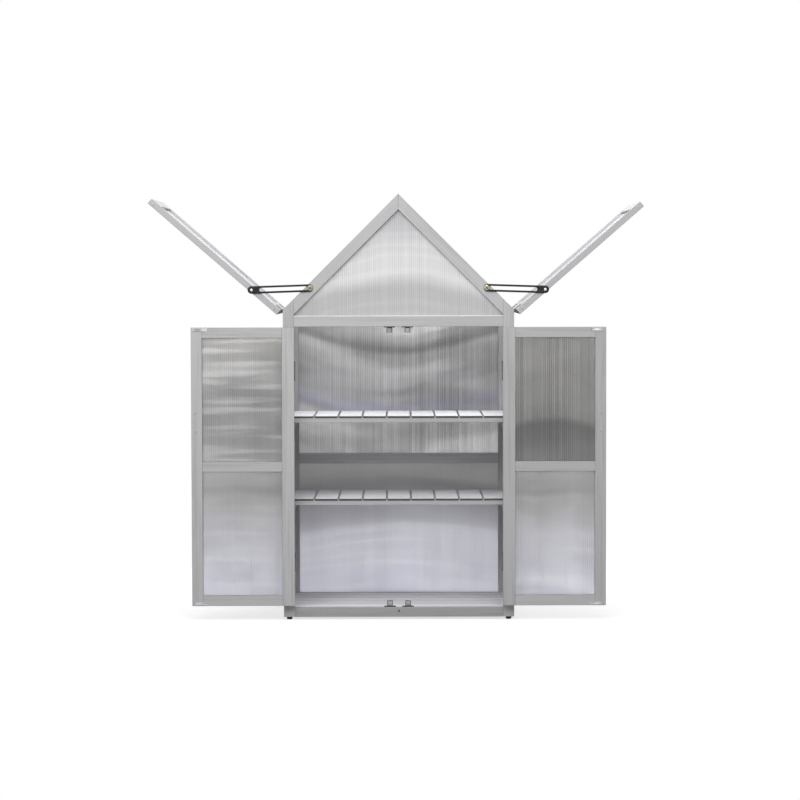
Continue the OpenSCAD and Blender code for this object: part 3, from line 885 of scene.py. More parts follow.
def corners(verts: Iterable[BMVert]) -> tuple[Vector, Vector]:
    """The lowest and the highest corner of the box round some vertices."""
    places = [vert.co for vert in verts]
    low = Vector(min(co[axis] for co in places) for axis in range(3))
    high = Vector(max(co[axis] for co in places) for axis in range(3))
    return low, high


def middle(verts: Iterable[BMVert]) -> Vector:
    """The middle of the box round some vertices."""
    low, high = corners(verts)
    return (low + high) / 2


def faces_of(verts: Iterable[BMVert]) -> set[BMFace]:
    """Every face that touches the vertices."""
    return {face for vert in verts for face in vert.link_faces}


def soften(bm: BMesh, width: float, steps: int, shortest: float) -> list[BMFace]:
    """Rounds the sharp outer edges of a mesh.

    Args:
        bm: The mesh.
        width: The width of the rounding.
        steps: Its number of segments.
        shortest: Edges shorter than this stay sharp.

    Returns:
        The new narrow faces.
    """
    sharp = [
        edge
        for edge in bm.edges
        if len(edge.link_faces) == 2
        and edge.is_convex
        and edge.calc_face_angle(0.0) > math.radians(30)
        and edge.calc_length() >= shortest
    ]
    done = bmesh.ops.bevel(
        bm,
        geom=sharp,
        offset=width,
        offset_type="OFFSET",
        segments=steps,
        profile=0.5,
        affect="EDGES",
        material=-1,
        clamp_overlap=True,
    )
    return done["faces"]


def absorb(target: BMesh, part: BMesh) -> None:
    """Adds one mesh to another and frees it."""
    carrier = bpy.data.meshes.new("carrier")
    part.to_mesh(carrier)
    part.free()
    target.from_mesh(carrier)
    bpy.data.meshes.remove(carrier)


def placed(origin: Vector, outward: Vector, sideways: Vector) -> Matrix:
    """A place whose Z runs outward and whose X runs sideways.

    Args:
        origin: Where it is.
        outward: The direction of its Z.
        sideways: The direction of its X, square to outward.

    Returns:
        The matrix of the place.
    """
    z_axis = outward.normalized()
    x_axis = (sideways - z_axis * sideways.dot(z_axis)).normalized()
    y_axis = z_axis.cross(x_axis)
    turned = Matrix((x_axis, y_axis, z_axis)).transposed().to_4x4()
    return Matrix.Translation(origin) @ turned


def turned_shape(profile: list[tuple[float, float]], sides: int, closed: bool = False) -> BMesh:
    """Turns a profile round Z.

    Args:
        profile: Its points, each a radius and a height.
        sides: The number of steps in the full turn.
        closed: Whether the last point joins the first, as in a ring.

    Returns:
        The turned mesh.
    """
    bm = bmesh.new()
    points = [bm.verts.new((radius, 0.0, height)) for radius, height in profile]
    edges = [bm.edges.new(pair) for pair in zip(points, points[1:])]
    if closed:
        edges.append(bm.edges.new((points[-1], points[0])))
    bmesh.ops.spin(
        bm,
        geom=points + edges,
        cent=(0.0, 0.0, 0.0),
        axis=UP,
        dvec=(0.0, 0.0, 0.0),
        angle=math.tau,
        steps=sides,
        use_merge=True,
        use_duplicate=False,
    )
    bmesh.ops.remove_doubles(bm, verts=bm.verts, dist=0.001 * MM)
    bmesh.ops.recalc_face_normals(bm, faces=bm.faces)
    return bm


def rounded_block(low: Vector, high: Vector, radius: float, steps: int = 2) -> BMesh:
    """A block between two corners with rounded edges.

    Args:
        low: Its lowest corner.
        high: Its highest corner.
        radius: The rounding of its edges.
        steps: The segments of the rounding.

    Returns:
        The block's mesh.
    """
    bm = bmesh.new()
    bmesh.ops.create_cube(bm, size=1.0)
    bmesh.ops.scale(bm, vec=high - low, verts=bm.verts)
    bmesh.ops.translate(bm, vec=(low + high) / 2, verts=bm.verts)
    soften(bm, radius, steps, 0.0)
    return bm


def make_piece(
    bm: BMesh, name: str, nodes: list[str], finishes: list[Finish], smooth: float = 0.0
) -> bpy.types.Object:
    """Makes an object of a mesh, which stands for CAD nodes and rides on their body.

    Args:
        bm: The mesh, which is freed.
        name: The piece's name.
        nodes: The CAD nodes that it stands for.
        finishes: Its finishes, in the order of its material slots.
        smooth: Edges flatter than this angle are shaded smooth; 0 leaves all flat.

    Returns:
        The object.
    """
    mesh = bpy.data.meshes.new(name)
    bm.to_mesh(mesh)
    bm.free()
    for stray in ("custom_normal", "UVMap", "sharp_face", "sharp_edge"):
        attribute = mesh.attributes.get(stray)
        if attribute is not None:
            mesh.attributes.remove(attribute)
    if smooth > 0.0:
        mesh.shade_smooth()
        mesh.set_sharp_from_angle(angle=smooth)
    else:
        mesh.shade_flat()
    for finish in finishes:
        mesh.materials.append(finish.material())
    piece = bpy.data.objects.new(name, mesh)
    bpy.context.scene.collection.objects.link(piece)
    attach(piece, BODY_OF[nodes[0]])
    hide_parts(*nodes)
    LOG.info("%s stands for %s, %d faces", name, ", ".join(nodes), len(mesh.polygons))
    return piece


@dataclass(frozen=True)
class Joinery:
    """Makes sawn and painted boards of a CAD node's plain ones."""

    arris: float = 0.8 * MM
    arris_steps: int = 2
    shortest_edge: float = 9 * MM
    stray: float = 9.0
    crest: float = 0.0

    def dress(
        self, node: str, finish: PaintedWood, grain: GrainFrom = GrainFrom.LONGEST_EDGE
    ) -> bpy.types.Object:
        """Makes the boards of one node.

        Args:
            node: The CAD node.
            finish: Their paint.
            grain: How the run of the grain is found.

        Returns:
            The piece.
        """
        bm = cad_copy(node)
        bm.verts.layers.float_vector.new(GRAIN_PLACE)
        joint_dirt_and_shade = bm.faces.layers.float.new(ARRIS)
        crest_highlight = bm.faces.layers.float.new(CREST_HIGHLIGHT)
        bm.faces.layers.float.new(END_GRAIN)
        if grain is GrainFrom.SPLIT_AT_RIDGE:
            self._part_at_ridge(bm)
        # The crest's faces are marked for a painted highlight.
        if self.crest > 0.0:
            for face in self._plane_crest(bm):
                face[crest_highlight] = 1.0
        # Arris faces are marked for joint dirt and painted shade.
        for face in soften(bm, self.arris, self.arris_steps, self.shortest_edge):
            face[joint_dirt_and_shade] = 1.0
        rng = random.Random(node)
        for board in solids(bm):
            self._lay_grain(bm, board, rng)
        bm.faces.ensure_lookup_table()
        return make_piece(bm, f"{node}_boards", [node], [finish])

    def _plane_crest(self, bm: BMesh) -> list[BMFace]:
        """Planes a narrow slope along the upper front edges and returns its faces."""
        upper = [
            edge
            for edge in bm.edges
            if len(edge.link_faces) == 2
            and edge.is_convex
            and max(face.normal.z for face in edge.link_faces) > 0.9
            and min(face.normal.y for face in edge.link_faces) < -0.9
        ]
        done = bmesh.ops.bevel(
            bm,
            geom=upper,
            offset=self.crest,
            offset_type="OFFSET",
            segments=1,
            profile=0.5,
            affect="EDGES",
            material=-1,
            clamp_overlap=True,
        )
        return done["faces"]

    def _part_at_ridge(self, bm: BMesh) -> None:
        """Cuts the solid in two at the ridge, so that each half is a board of its own."""
        cut = bmesh.ops.bisect_plane(
            bm,
            geom=[*bm.verts, *bm.edges, *bm.faces],
            dist=0.001 * MM,
            plane_co=(0.0, 0.0, 0.0),
            plane_no=AXIS_X,
        )
        seam = [item for item in cut["geom_cut"] if isinstance(item, BMEdge)]
        parted = bmesh.ops.split_edges(bm, edges=seam)
        bmesh.ops.holes_fill(bm, edges=parted["edges"], sides=0)
        bmesh.ops.recalc_face_normals(bm, faces=bm.faces)

    def _lay_grain(self, bm: BMesh, board: list[BMVert], rng: random.Random) -> None:
        """Writes the grain's place on a board, and marks its two sawn ends."""
        place = bm.verts.layers.float_vector[GRAIN_PLACE]
        end = bm.faces.layers.float[END_GRAIN]
        edges = {edge for vert in board for edge in vert.link_edges}
        longest = max(edges, key=lambda edge: edge.calc_length())
        along = (longest.verts[1].co - longest.verts[0].co).normalized()
        faces = faces_of(board)
        broad = max(faces, key=lambda face: face.calc_area()).normal.copy()
        across = broad.cross(along)
        shift = Vector(rng.uniform(0.0, self.stray) for _ in range(3))
        for vert in board:
            spot = Vector((vert.co.dot(along), vert.co.dot(across), vert.co.dot(broad)))
            vert[place] = spot + shift
        for face in faces:
            face[end] = 1.0 if abs(face.normal.dot(along)) > 0.9 else 0.0


@dataclass(frozen=True)
class Glazing:
    """Makes true twin-wall sheets of a CAD node's plain ones."""

    skin: float = 0.4 * MM
    web: float = 0.45 * MM
    pitch: float = 6.3 * MM

    def dress(self, node: str, tones: list[TwinWallSkin]) -> bpy.types.Object:
        """Makes the sheets of one node.

        Args:
            node: The CAD node.
            tones: The finish of each sheet, the lowest sheet first.

        Returns:
            The piece.
        """
        plain = cad_copy(node)
        bm = bmesh.new()
        bm.verts.layers.float_vector.new(SHEET_PLACE)
        bm.verts.layers.float_vector.new(SHEET_SPAN)
        start = random.Random(node).uniform(0.0, 90.0)
        for number, sheet in enumerate(solids(plain)):
            self._sheet(bm, faces_of(sheet), number % len(tones), len(tones), start + number)
        plain.free()
        bmesh.ops.recalc_face_normals(bm, faces=bm.faces)
        return make_piece(bm, f"{node}_twin_wall", [node], [*tones, WEB])

    def _sheet(
        self, bm: BMesh, faces: set[BMFace], skin_slot: int, web_slot: int, number: float
    ) -> None:
        """Adds one sheet.

        Args:
            bm: The mesh that the sheet goes into.
            faces: The faces of the CAD sheet.
            skin_slot: The material slot of its skins.
            web_slot: The material slot of its webs.
            number: A number of its own, for its pattern.
        """
        broad = sorted(faces, key=lambda face: face.calc_area(), reverse=True)[:2]
        normal = broad[0].normal.copy()
        along = (UP - normal * UP.dot(normal)).normalized()
        across = along.cross(normal)
        outline = [(vert.co.dot(across), vert.co.dot(along)) for vert in broad[0].verts]
        low = min(point[0] for point in outline)
        high = max(point[0] for point in outline)
        cells = math.floor((high - low) / self.pitch)
        first = (low + high - cells * self.pitch) / 2
        made: list[BMVert] = []
        for face in broad:
            made += self._skin(bm, face, skin_slot)
        near = broad[0].verts[0].co.dot(normal)
        far = broad[1].verts[0].co.dot(normal)
        for cell in range(cells + 1):
            spot = min(max(first + cell * self.pitch, low + self.web), high - self.web)
            foot, top = self._span(outline, spot)
            size = Vector((self.web, abs(near - far) - 2 * self.skin, top - foot))
            centre = across * spot + normal * (near + far) / 2 + along * (foot + top) / 2
            made += self._web(bm, placed(centre, along, across), size, web_slot)
        foot = min(point[1] for point in outline)
        top = max(point[1] for point in outline)
        place = bm.verts.layers.float_vector[SHEET_PLACE]
        span = bm.verts.layers.float_vector[SHEET_SPAN]
        for vert in made:
            at = vert.co.dot(across)
            rise = vert.co.dot(along) - foot
            vert[place] = Vector(((at - first) / self.pitch, rise, number))
            vert[span] = Vector(((2 * at - low - high) / (high - low), rise / (top - foot), 0.0))

    def _skin(self, bm: BMesh, outer: BMFace, slot: int) -> list[BMVert]:
        """Adds one skin, whose outer face is a CAD face, and returns its vertices."""
        ring = [bm.verts.new(vert.co) for vert in outer.verts]
        face = bm.faces.new(ring)
        face.material_index = slot
        grown = bmesh.ops.extrude_face_region(bm, geom=[face])
        inner = [item for item in grown["geom"] if isinstance(item, BMVert)]
        bmesh.ops.translate(bm, vec=outer.normal * -self.skin, verts=inner)
        for item in faces_of(ring + inner):
            item.material_index = slot
        return ring + inner

    def _web(self, bm: BMesh, place: Matrix, size: Vector, slot: int) -> list[BMVert]:
        """Adds one web between the skins and returns its vertices."""
        scale = Matrix.Diagonal((*size, 1.0))
        made = bmesh.ops.create_cube(bm, size=1.0, matrix=place @ scale)["verts"]
        for face in faces_of(made):
            face.material_index = slot
        return made

    def _span(self, outline: list[tuple[float, float]], spot: float) -> tuple[float, float]:
        """Where a line along the cells enters and leaves the outline of a sheet."""
        heights = []
        for (left, left_at), (right, right_at) in zip(outline, outline[1:] + outline[:1]):
            if (left - spot) * (right - spot) < 0:
                heights.append(left_at + (right_at - left_at) * (spot - left) / (right - left))
        return min(heights), max(heights)


@dataclass(frozen=True)
class CrossScrew:
    """A screw with a domed head and a cross recess, or a plain rivet."""

    head_r: float
    head_h: float
    shank_r: float
    length: float
    recess: bool = True
    sides: int = 24

    def mesh(self) -> BMesh:
        """Makes the screw with its head up Z from 0.

        Returns:
            The screw's mesh.
        """
        flat = 0.66 * self.head_r
        profile = [
            (0.0, -self.length),
            (0.45 * self.shank_r, -self.length + 0.4 * self.shank_r),
            (self.shank_r, -self.length + 2.4 * self.shank_r),
            (self.shank_r, 0.0),
            (0.97 * self.head_r, 0.0),
            (self.head_r, 0.12 * self.head_h),
            (0.93 * self.head_r, 0.5 * self.head_h),
            (0.78 * self.head_r, 0.82 * self.head_h),
            (flat, self.head_h),
            (0.0, self.head_h),
        ]
        bm = turned_shape(profile, self.sides)
        if self.recess:
            self._sink_cross(bm)
        return bm

    def _sink_cross(self, bm: BMesh) -> None:
        """Sinks the cross into the flat of the head."""
        reach = 0.6 * self.head_r
        half = 0.16 * self.head_r
        depth = min(0.8 * self.head_h, 0.4 * self.head_r)

        def top() -> list[BMFace]:
            """The faces of the head's flat."""
            return [
                face
                for face in bm.faces
                if face.normal.z > 0.99 and face.calc_center_median().z > 0.99 * self.head_h
            ]

        bmesh.ops.dissolve_faces(bm, faces=top())
        for axis in (AXIS_X, AXIS_Y):
            for offset in (-reach, -half, half, reach):
                faces = top()
                edges = {edge for face in faces for edge in face.edges}
                verts = {vert for face in faces for vert in face.verts}
                bmesh.ops.bisect_plane(
                    bm,
                    geom=[*verts, *edges, *faces],
                    dist=0.001 * MM,
                    plane_co=axis * offset,
                    plane_no=axis,
                )
        sunk = []
        for face in top():
            at = face.calc_center_median()
            small, large = sorted((abs(at.x), abs(at.y)))
            if small < half and large < reach:
                sunk.append(face)
        rims = {edge for face in sunk for edge in face.edges}
        grown = bmesh.ops.extrude_face_region(bm, geom=[*sunk, *rims])
        floor = [item for item in grown["geom"] if isinstance(item, BMVert)]
        bmesh.ops.translate(bm, vec=(0.0, 0.0, -depth), verts=floor)
        for face in faces_of(floor):
            face.material_index = 1


@dataclass(frozen=True)
class Metalwork:
    """Makes pressed plates, screws, rivets and washers of the CAD's plain ones."""

    arris: float = 0.25 * MM
    smooth: float = math.radians(35)
    washer_most: float = 2.5 * MM
    rivet_least: float = 2.8 * MM
    chamfer: float = 0.2 * MM

    def dress(self, node: str, finish: Finish, arris: float = 0.0) -> bpy.types.Object:
        """Rounds the edges of a node's solids.

        Args:
            node: The CAD node.
            finish: Its finish.
            arris: The rounding, or 0 for the usual one.

        Returns:
            The piece.
        """
        bm = cad_copy(node)
        soften(bm, arris or self.arris, 2, 0.0)
        return make_piece(bm, f"{node}_finished", [node], [finish], self.smooth)

    def fasteners(self, node: str, finish: Finish) -> bpy.types.Object:
        """Makes the screws, rivets and washers of a node, which all lie along Y.

        Args:
            node: The CAD node.
            finish: Its finish.

        Returns:
            The piece.
        """
        plain = cad_copy(node)
        bm = bmesh.new()
        rng = random.Random(node)
        for solid in solids(plain):
            low, high = corners(solid)
            if high.y - low.y < self.washer_most:
                absorb(bm, self._washer(solid))
            else:
                absorb(bm, self._fastener(solid, rng.uniform(0.0, math.pi)))
        plain.free()
        return make_piece(bm, f"{node}_turned", [node], [finish, RECESS], self.smooth)

    def _washer(self, solid: list[BMVert]) -> BMesh:
        """A chamfered washer in the place of a CAD one."""
        low, high = corners(solid)
        centre = (low + high) / 2
        outer = (high.x - low.x) / 2
        bore = min(Vector((v.co.x - centre.x, v.co.z - centre.z)).length for v in solid)
        half = (high.y - low.y) / 2
        cut = self.chamfer
        profile = [
            (bore, -half),
            (outer - cut, -half),
            (outer, -half + cut),
            (outer, half - cut),
            (outer - cut, half),
            (bore, half),
        ]
        bm = turned_shape(profile, 32, closed=True)
        bmesh.ops.transform(bm, matrix=placed(centre, AXIS_Y, AXIS_X), verts=bm.verts)
        return bm

    def _fastener(self, solid: list[BMVert], turn: float) -> BMesh:
        """A screw or rivet in the place of a CAD one, turned about its own axis."""
        low, high = corners(solid)
        centre = (low + high) / 2
        head_r = (high.x - low.x) / 2
        reach = {v: Vector((v.co.x - centre.x, v.co.z - centre.z)).length for v in solid}
        rim = [v.co.y for v in solid if reach[v] > 0.97 * head_r]
        seat = max(rim, key=lambda y: min(high.y - y, y - low.y))
        outward = AXIS_Y if high.y - seat < seat - low.y else -AXIS_Y
        tip = low.y if outward.y > 0 else high.y
        top = high.y if outward.y > 0 else low.y
        shank_r = max(reach[v] for v in solid if abs(v.co.y - tip) < 0.01 * MM)
        screw = CrossScrew(
            head_r=head_r,
            head_h=abs(top - seat),
            shank_r=shank_r,
            length=abs(tip - seat),
            recess=shank_r < self.rivet_least,
        )
        sideways = AXIS_X * math.cos(turn) + UP * math.sin(turn)
        bm = screw.mesh()
        place = placed(Vector((centre.x, seat, centre.z)), outward, sideways)
        bmesh.ops.transform(bm, matrix=place, verts=bm.verts)
        return bm


@dataclass(frozen=True)
class HingeMaker:
    """Makes butt hinge leaves with rounded edges and countersunk screws."""

    arris: float = 0.2 * MM
    screw_r: float = 3.1 * MM
    proud: float = 0.12 * MM
    screw_shares: tuple[float, ...] = (-0.34, 0.0, 0.34)
    screw_depth: float = 9 * MM

    def dress(self, node: str) -> bpy.types.Object:
        """Makes the hinge leaves of a node.

        Args:
            node: The CAD node.

        Returns:
            The piece.
        """
        bm = cad_copy(node)
        spots = [spot for leaf in solids(bm) for spot in self._screw_spots(leaf)]
        soften(bm, self.arris, 1, 3 * MM)
        for spot in spots:
            screw = CrossScrew(self.screw_r, self.proud, 1.5 * MM, self.screw_depth, sides=16)
            made = screw.mesh()
            bmesh.ops.transform(made, matrix=spot, verts=made.verts)
            absorb(bm, made)
        finishes = [HINGE_STEEL, RECESS]
        return make_piece(bm, f"{node}_pressed", [node], finishes, math.radians(35))

    def _screw_spots(self, leaf: list[BMVert]) -> list[Matrix]:
        """Where the screws of a leaf go, on the side that faces the other leaf.

        Args:
            leaf: The vertices of the leaf's solid.

        Returns:
            The place of each screw, with Z out of the leaf.
        """
        broad = sorted(faces_of(leaf), key=lambda face: face.calc_area(), reverse=True)[:2]
        centre = middle(leaf)
        low, high = corners(leaf)
        pin = AXIS_Y if high.y - low.y > high.z - low.z else UP
        knuckle = self._knuckle_line(leaf, pin)
        face = min(
            broad, key=lambda item: abs((knuckle - item.calc_center_bounds()).dot(item.normal))
        )
        length = (high - low).dot(pin)
        middle_of_face = face.calc_center_bounds()
        middle_of_face += pin * (centre - middle_of_face).dot(pin)
        sideways = face.normal.cross(pin)
        return [
            placed(middle_of_face + pin * (share * length), face.normal.copy(), sideways)
            for share in self.screw_shares
        ]

    def _knuckle_line(self, leaf: list[BMVert], pin: Vector) -> Vector:
        """A point on the pin's line: the middle of the vertices that lie thickest."""
        centre = middle(leaf)
        flat = [vert.co - pin * (vert.co - centre).dot(pin) for vert in leaf]
        round_ones = [co for co in flat if sum((co - other).length < 7 * MM for other in flat) > 40]
        total = Vector((0.0, 0.0, 0.0))
        for co in round_ones or flat:
            total += co
        return total / len(round_ones or flat)


@dataclass(frozen=True)
class FrontFrame:
    """The gabled front: two posts, two rafters, a tie beam, a base rail and the gable sheet."""

    joinery: Joinery = field(default_factory=Joinery)
    rail: Joinery = field(default_factory=lambda: Joinery(crest=2.2 * MM))
    glazing: Glazing = field(default_factory=Glazing)
    timber: tuple[str, ...] = (
        "front_post_left",
        "front_post_right",
        "front_rafter_left",
        "front_rafter_right",
    )

    def build(self) -> None:
        """Makes the boards and the gable sheet."""
        for node in self.timber:
            self.joinery.dress(node, GREY_PAINT)
        # The base rail takes the darker copy of the paint, as painted shade.
        self.joinery.dress("front_base_rail", SHADED_BASE_PAINT)
        self.rail.dress("front_tie_beam", GREY_PAINT)
        self.glazing.dress("front_gable_pane", [GABLE_SHEET])


@dataclass(frozen=True)
class BackFrame:
    """The back of the cabinet, with its two sheets, its gable sheet and the ridge bar."""

    joinery: Joinery = field(default_factory=Joinery)
    rail: Joinery = field(default_factory=lambda: Joinery(crest=3.2 * MM))
    glazing: Glazing = field(default_factory=Glazing)
    timber: tuple[str, ...] = ("back_posts", "back_tie_beam", "back_base_rail", "ridge_bar")

    def build(self) -> None:
        """Makes the boards and the three sheets."""
        for node in self.timber:
            self.joinery.dress(node, GREY_PAINT)
        self.rail.dress("back_mid_rail", GREY_PAINT)
        self.joinery.dress("back_rafters", GREY_PAINT, GrainFrom.SPLIT_AT_RIDGE)
        self.glazing.dress("back_panes", [BACK_LOWER, BACK_UPPER])
        self.glazing.dress("back_gable_pane", [GABLE_SHEET])


@dataclass(frozen=True)
class SideFrame:
    """One side of the cabinet."""

    side: Side
    joinery: Joinery = field(default_factory=Joinery)
    glazing: Glazing = field(default_factory=Glazing)

    def build(self) -> None:
        """Makes the stiles, the rails and the two sheets."""
        name = f"side_{self.side.value}"
        self.joinery.dress(f"{name}_stiles", GREY_PAINT)
        self.joinery.dress(f"{name}_rails", GREY_PAINT)
        self.glazing.dress(f"{name}_panes", [SIDE_SHEET])


@dataclass(frozen=True)
class FloorAndShelves:
    """The floor boards on their bearers, and two slatted shelves on rails and cleats."""

    joinery: Joinery = field(default_factory=Joinery)
    slats: Joinery = field(default_factory=lambda: Joinery(arris=1.0 * MM, shortest_edge=4 * MM))

    def build(self) -> None:
        """Makes the carriers and what lies on them."""
        for node in ("floor_bearers", "shelf_rails", "shelf_cleats"):
            self.joinery.dress(node, GREY_PAINT)
        self.slats.dress("floor_boards", FLOOR_PAINT)
        self.slats.dress("shelf_slats", SLAT_PAINT)


@dataclass(frozen=True)
class Door:
    """One door with its sheets, handle, strike plates and hinge leaves."""

    side: Side
    joinery: Joinery = field(default_factory=Joinery)
    glazing: Glazing = field(default_factory=Glazing)
    metalwork: Metalwork = field(default_factory=Metalwork)
    hinges: HingeMaker = field(default_factory=HingeMaker)

    def build(self) -> None:
        """Makes everything that swings with the door."""
        name = f"door_{self.side.value}"
        upper = {Side.LEFT: DOOR_UPPER_LEFT, Side.RIGHT: DOOR_UPPER_RIGHT}[self.side]
        self.joinery.dress(f"{name}_stiles", GREY_PAINT)
        self.joinery.dress(f"{name}_rails", GREY_PAINT)
        self.glazing.dress(f"{name}_panes", [DOOR_LOWER, upper])
        self.metalwork.dress(f"{name}_handle", BLACK_STEEL, 0.6 * MM)
        self.metalwork.fasteners(f"{name}_handle_screws", ZINC)
        self.metalwork.dress(f"{name}_strikes", STRIKE_PLATE)
        self.hinges.dress(f"{name}_hinge_leaves")


@dataclass(frozen=True)
class RoofPanel:
    """One roof panel with its sheet, hinge leaves, screws and rivet."""

    side: Side
    joinery: Joinery = field(default_factory=Joinery)
    glazing: Glazing = field(default_factory=Glazing)
    metalwork: Metalwork = field(default_factory=Metalwork)
    hinges: HingeMaker = field(default_factory=HingeMaker)

    def build(self) -> None:
        """Makes everything that swings with the panel."""
        name = f"roof_{self.side.value}"
        self.joinery.dress(f"{name}_stiles", GREY_PAINT)
        self.joinery.dress(f"{name}_rails", GREY_PAINT)
        self.glazing.dress(f"{name}_pane", [ROOF_SHEET])
        self.metalwork.fasteners(f"{name}_fasteners", ZINC)
        self.hinges.dress(f"{name}_hinge_leaves")


@dataclass(frozen=True)
class Stay:
    """The slotted black stay that holds a roof panel open."""

    side: Side
    metalwork: Metalwork = field(default_factory=Metalwork)

    def build(self) -> None:
        """Rounds the edges of the stay."""
        self.metalwork.dress(f"stay_{self.side.value}", BLACK_STEEL)


@dataclass(frozen=True)
class MagneticCatches:
    """Four catches: a housing on two ears, with two pole plates and a magnet between them."""

    node: str = "magnetic_catches"
    housing_w: float = 19 * MM
    ear_t: float = 3 * MM
    pole_t: float = 1.4 * MM
    pole_proud: float = 1.0 * MM
    pole_edge: float = 2.0 * MM
    magnet_back: float = 0.5 * MM
    screw_r: float = 3.0 * MM
    screw_h: float = 1.4 * MM
    screw_length: float = 3.0 * MM

    def build(self) -> None:
        """Makes the four catches as one piece."""
        plain = cad_copy(self.node)
        bm = bmesh.new()
        for catch in solids(plain):
            self._catch(bm, catch)
        plain.free()
        finishes = [CATCH_STEEL, MAGNET, ZINC]
        make_piece(bm, f"{self.node}_made", [self.node], finishes, math.radians(35))

    def _catch(self, bm: BMesh, solid: list[BMVert]) -> None:
        """Adds one catch.

        Args:
            bm: The mesh that it goes into.
            solid: The vertices of the CAD catch.
        """
        low, high = corners(solid)
        centre_x = (low.x + high.x) / 2
        ears_at = [vert.co.z for vert in solid if vert.co.x > high.x - 0.1 * MM]
        from_floor = min(ears_at) < (low.z + high.z) / 2
        rise = 1.0 if from_floor else -1.0
        foot = low.z if from_floor else high.z
        front = low.y
        left = centre_x - self.housing_w / 2
        right = centre_x + self.housing_w / 2

        def block(
            x0: float, x1: float, y0: float, y1: float, rise0: float, rise1: float, slot: int
        ) -> None:
            """Adds a rounded block, with its heights taken from the catch's foot."""
            heights = sorted((foot + rise * rise0, foot + rise * rise1))
            made = rounded_block(
                Vector((x0, y0, heights[0])), Vector((x1, y1, heights[1])), 0.4 * MM
            )
            for face in made.faces:
                face.material_index = slot
            absorb(bm, made)

        tall = high.z - low.z
        block(low.x, high.x, front, high.y, 0.0, self.ear_t, 0)
        block(left, right, front + self.pole_proud, high.y, 0.2 * MM, tall, 0)
        pole_low = self.ear_t + self.pole_edge
        pole_high = tall - self.pole_edge
        for base in (pole_low, pole_high - self.pole_t):
            block(
                left + 1.5 * MM,
                right - 1.5 * MM,
                front,
                high.y - 2 * MM,
                base,
                base + self.pole_t,
                2,
            )
        block(
            left + 2 * MM,
            right - 2 * MM,
            front + self.magnet_back,
            high.y - 2 * MM,
            pole_low + self.pole_t,
            pole_high - self.pole_t,
            1,
        )
        depth = (front + high.y) / 2
        for x in ((low.x + left) / 2, (right + high.x) / 2):
            screw = CrossScrew(self.screw_r, self.screw_h, 1.5 * MM, self.screw_length, sides=16)
            made = screw.mesh()
            for face in made.faces:
                face.material_index = 2
            seat = Vector((x, depth, foot + rise * self.ear_t))
            bmesh.ops.transform(made, matrix=placed(seat, UP * rise, AXIS_X), verts=made.verts)
            absorb(bm, made)


@dataclass(frozen=True)
class BodyHardware:
    """The feet, hinges, catches and screws that stay with the body."""

    metalwork: Metalwork = field(default_factory=Metalwork)
    hinges: HingeMaker = field(default_factory=HingeMaker)
    catches: MagneticCatches = field(default_factory=MagneticCatches)

    def build(self) -> None:
        """Makes the body's hardware."""
        self.metalwork.dress("feet", FOOT_PLASTIC, 0.8 * MM)
        self.hinges.dress("door_hinge_post_leaves")
        self.hinges.dress("roof_hinge_rail_leaves")
        self.metalwork.dress("hinge_pins", HINGE_STEEL, 0.2 * MM)
        self.metalwork.fasteners("stay_screws", YELLOW_ZINC)
        self.metalwork.fasteners("frame_screws", DARK_ZINC)
        self.catches.build()


@dataclass(frozen=True)
class Softbox:
    """One soft lamp."""

    name: str
    place: Colour
    aim: Colour
    width: float
    height: float
    power: float

    def build(self) -> None:
        """Hangs the lamp and turns it to its aim."""
        lamp = bpy.data.lights.new(self.name, "AREA")
        lamp.shape = "RECTANGLE"
        lamp.size = self.width
        lamp.size_y = self.height
        lamp.energy = self.power
        holder = bpy.data.objects.new(self.name, lamp)
        holder.location = self.place
        aim = Vector(self.aim) - Vector(self.place)
        holder.rotation_euler = aim.to_track_quat("-Z", "Y").to_euler()
        bpy.context.scene.collection.objects.link(holder)


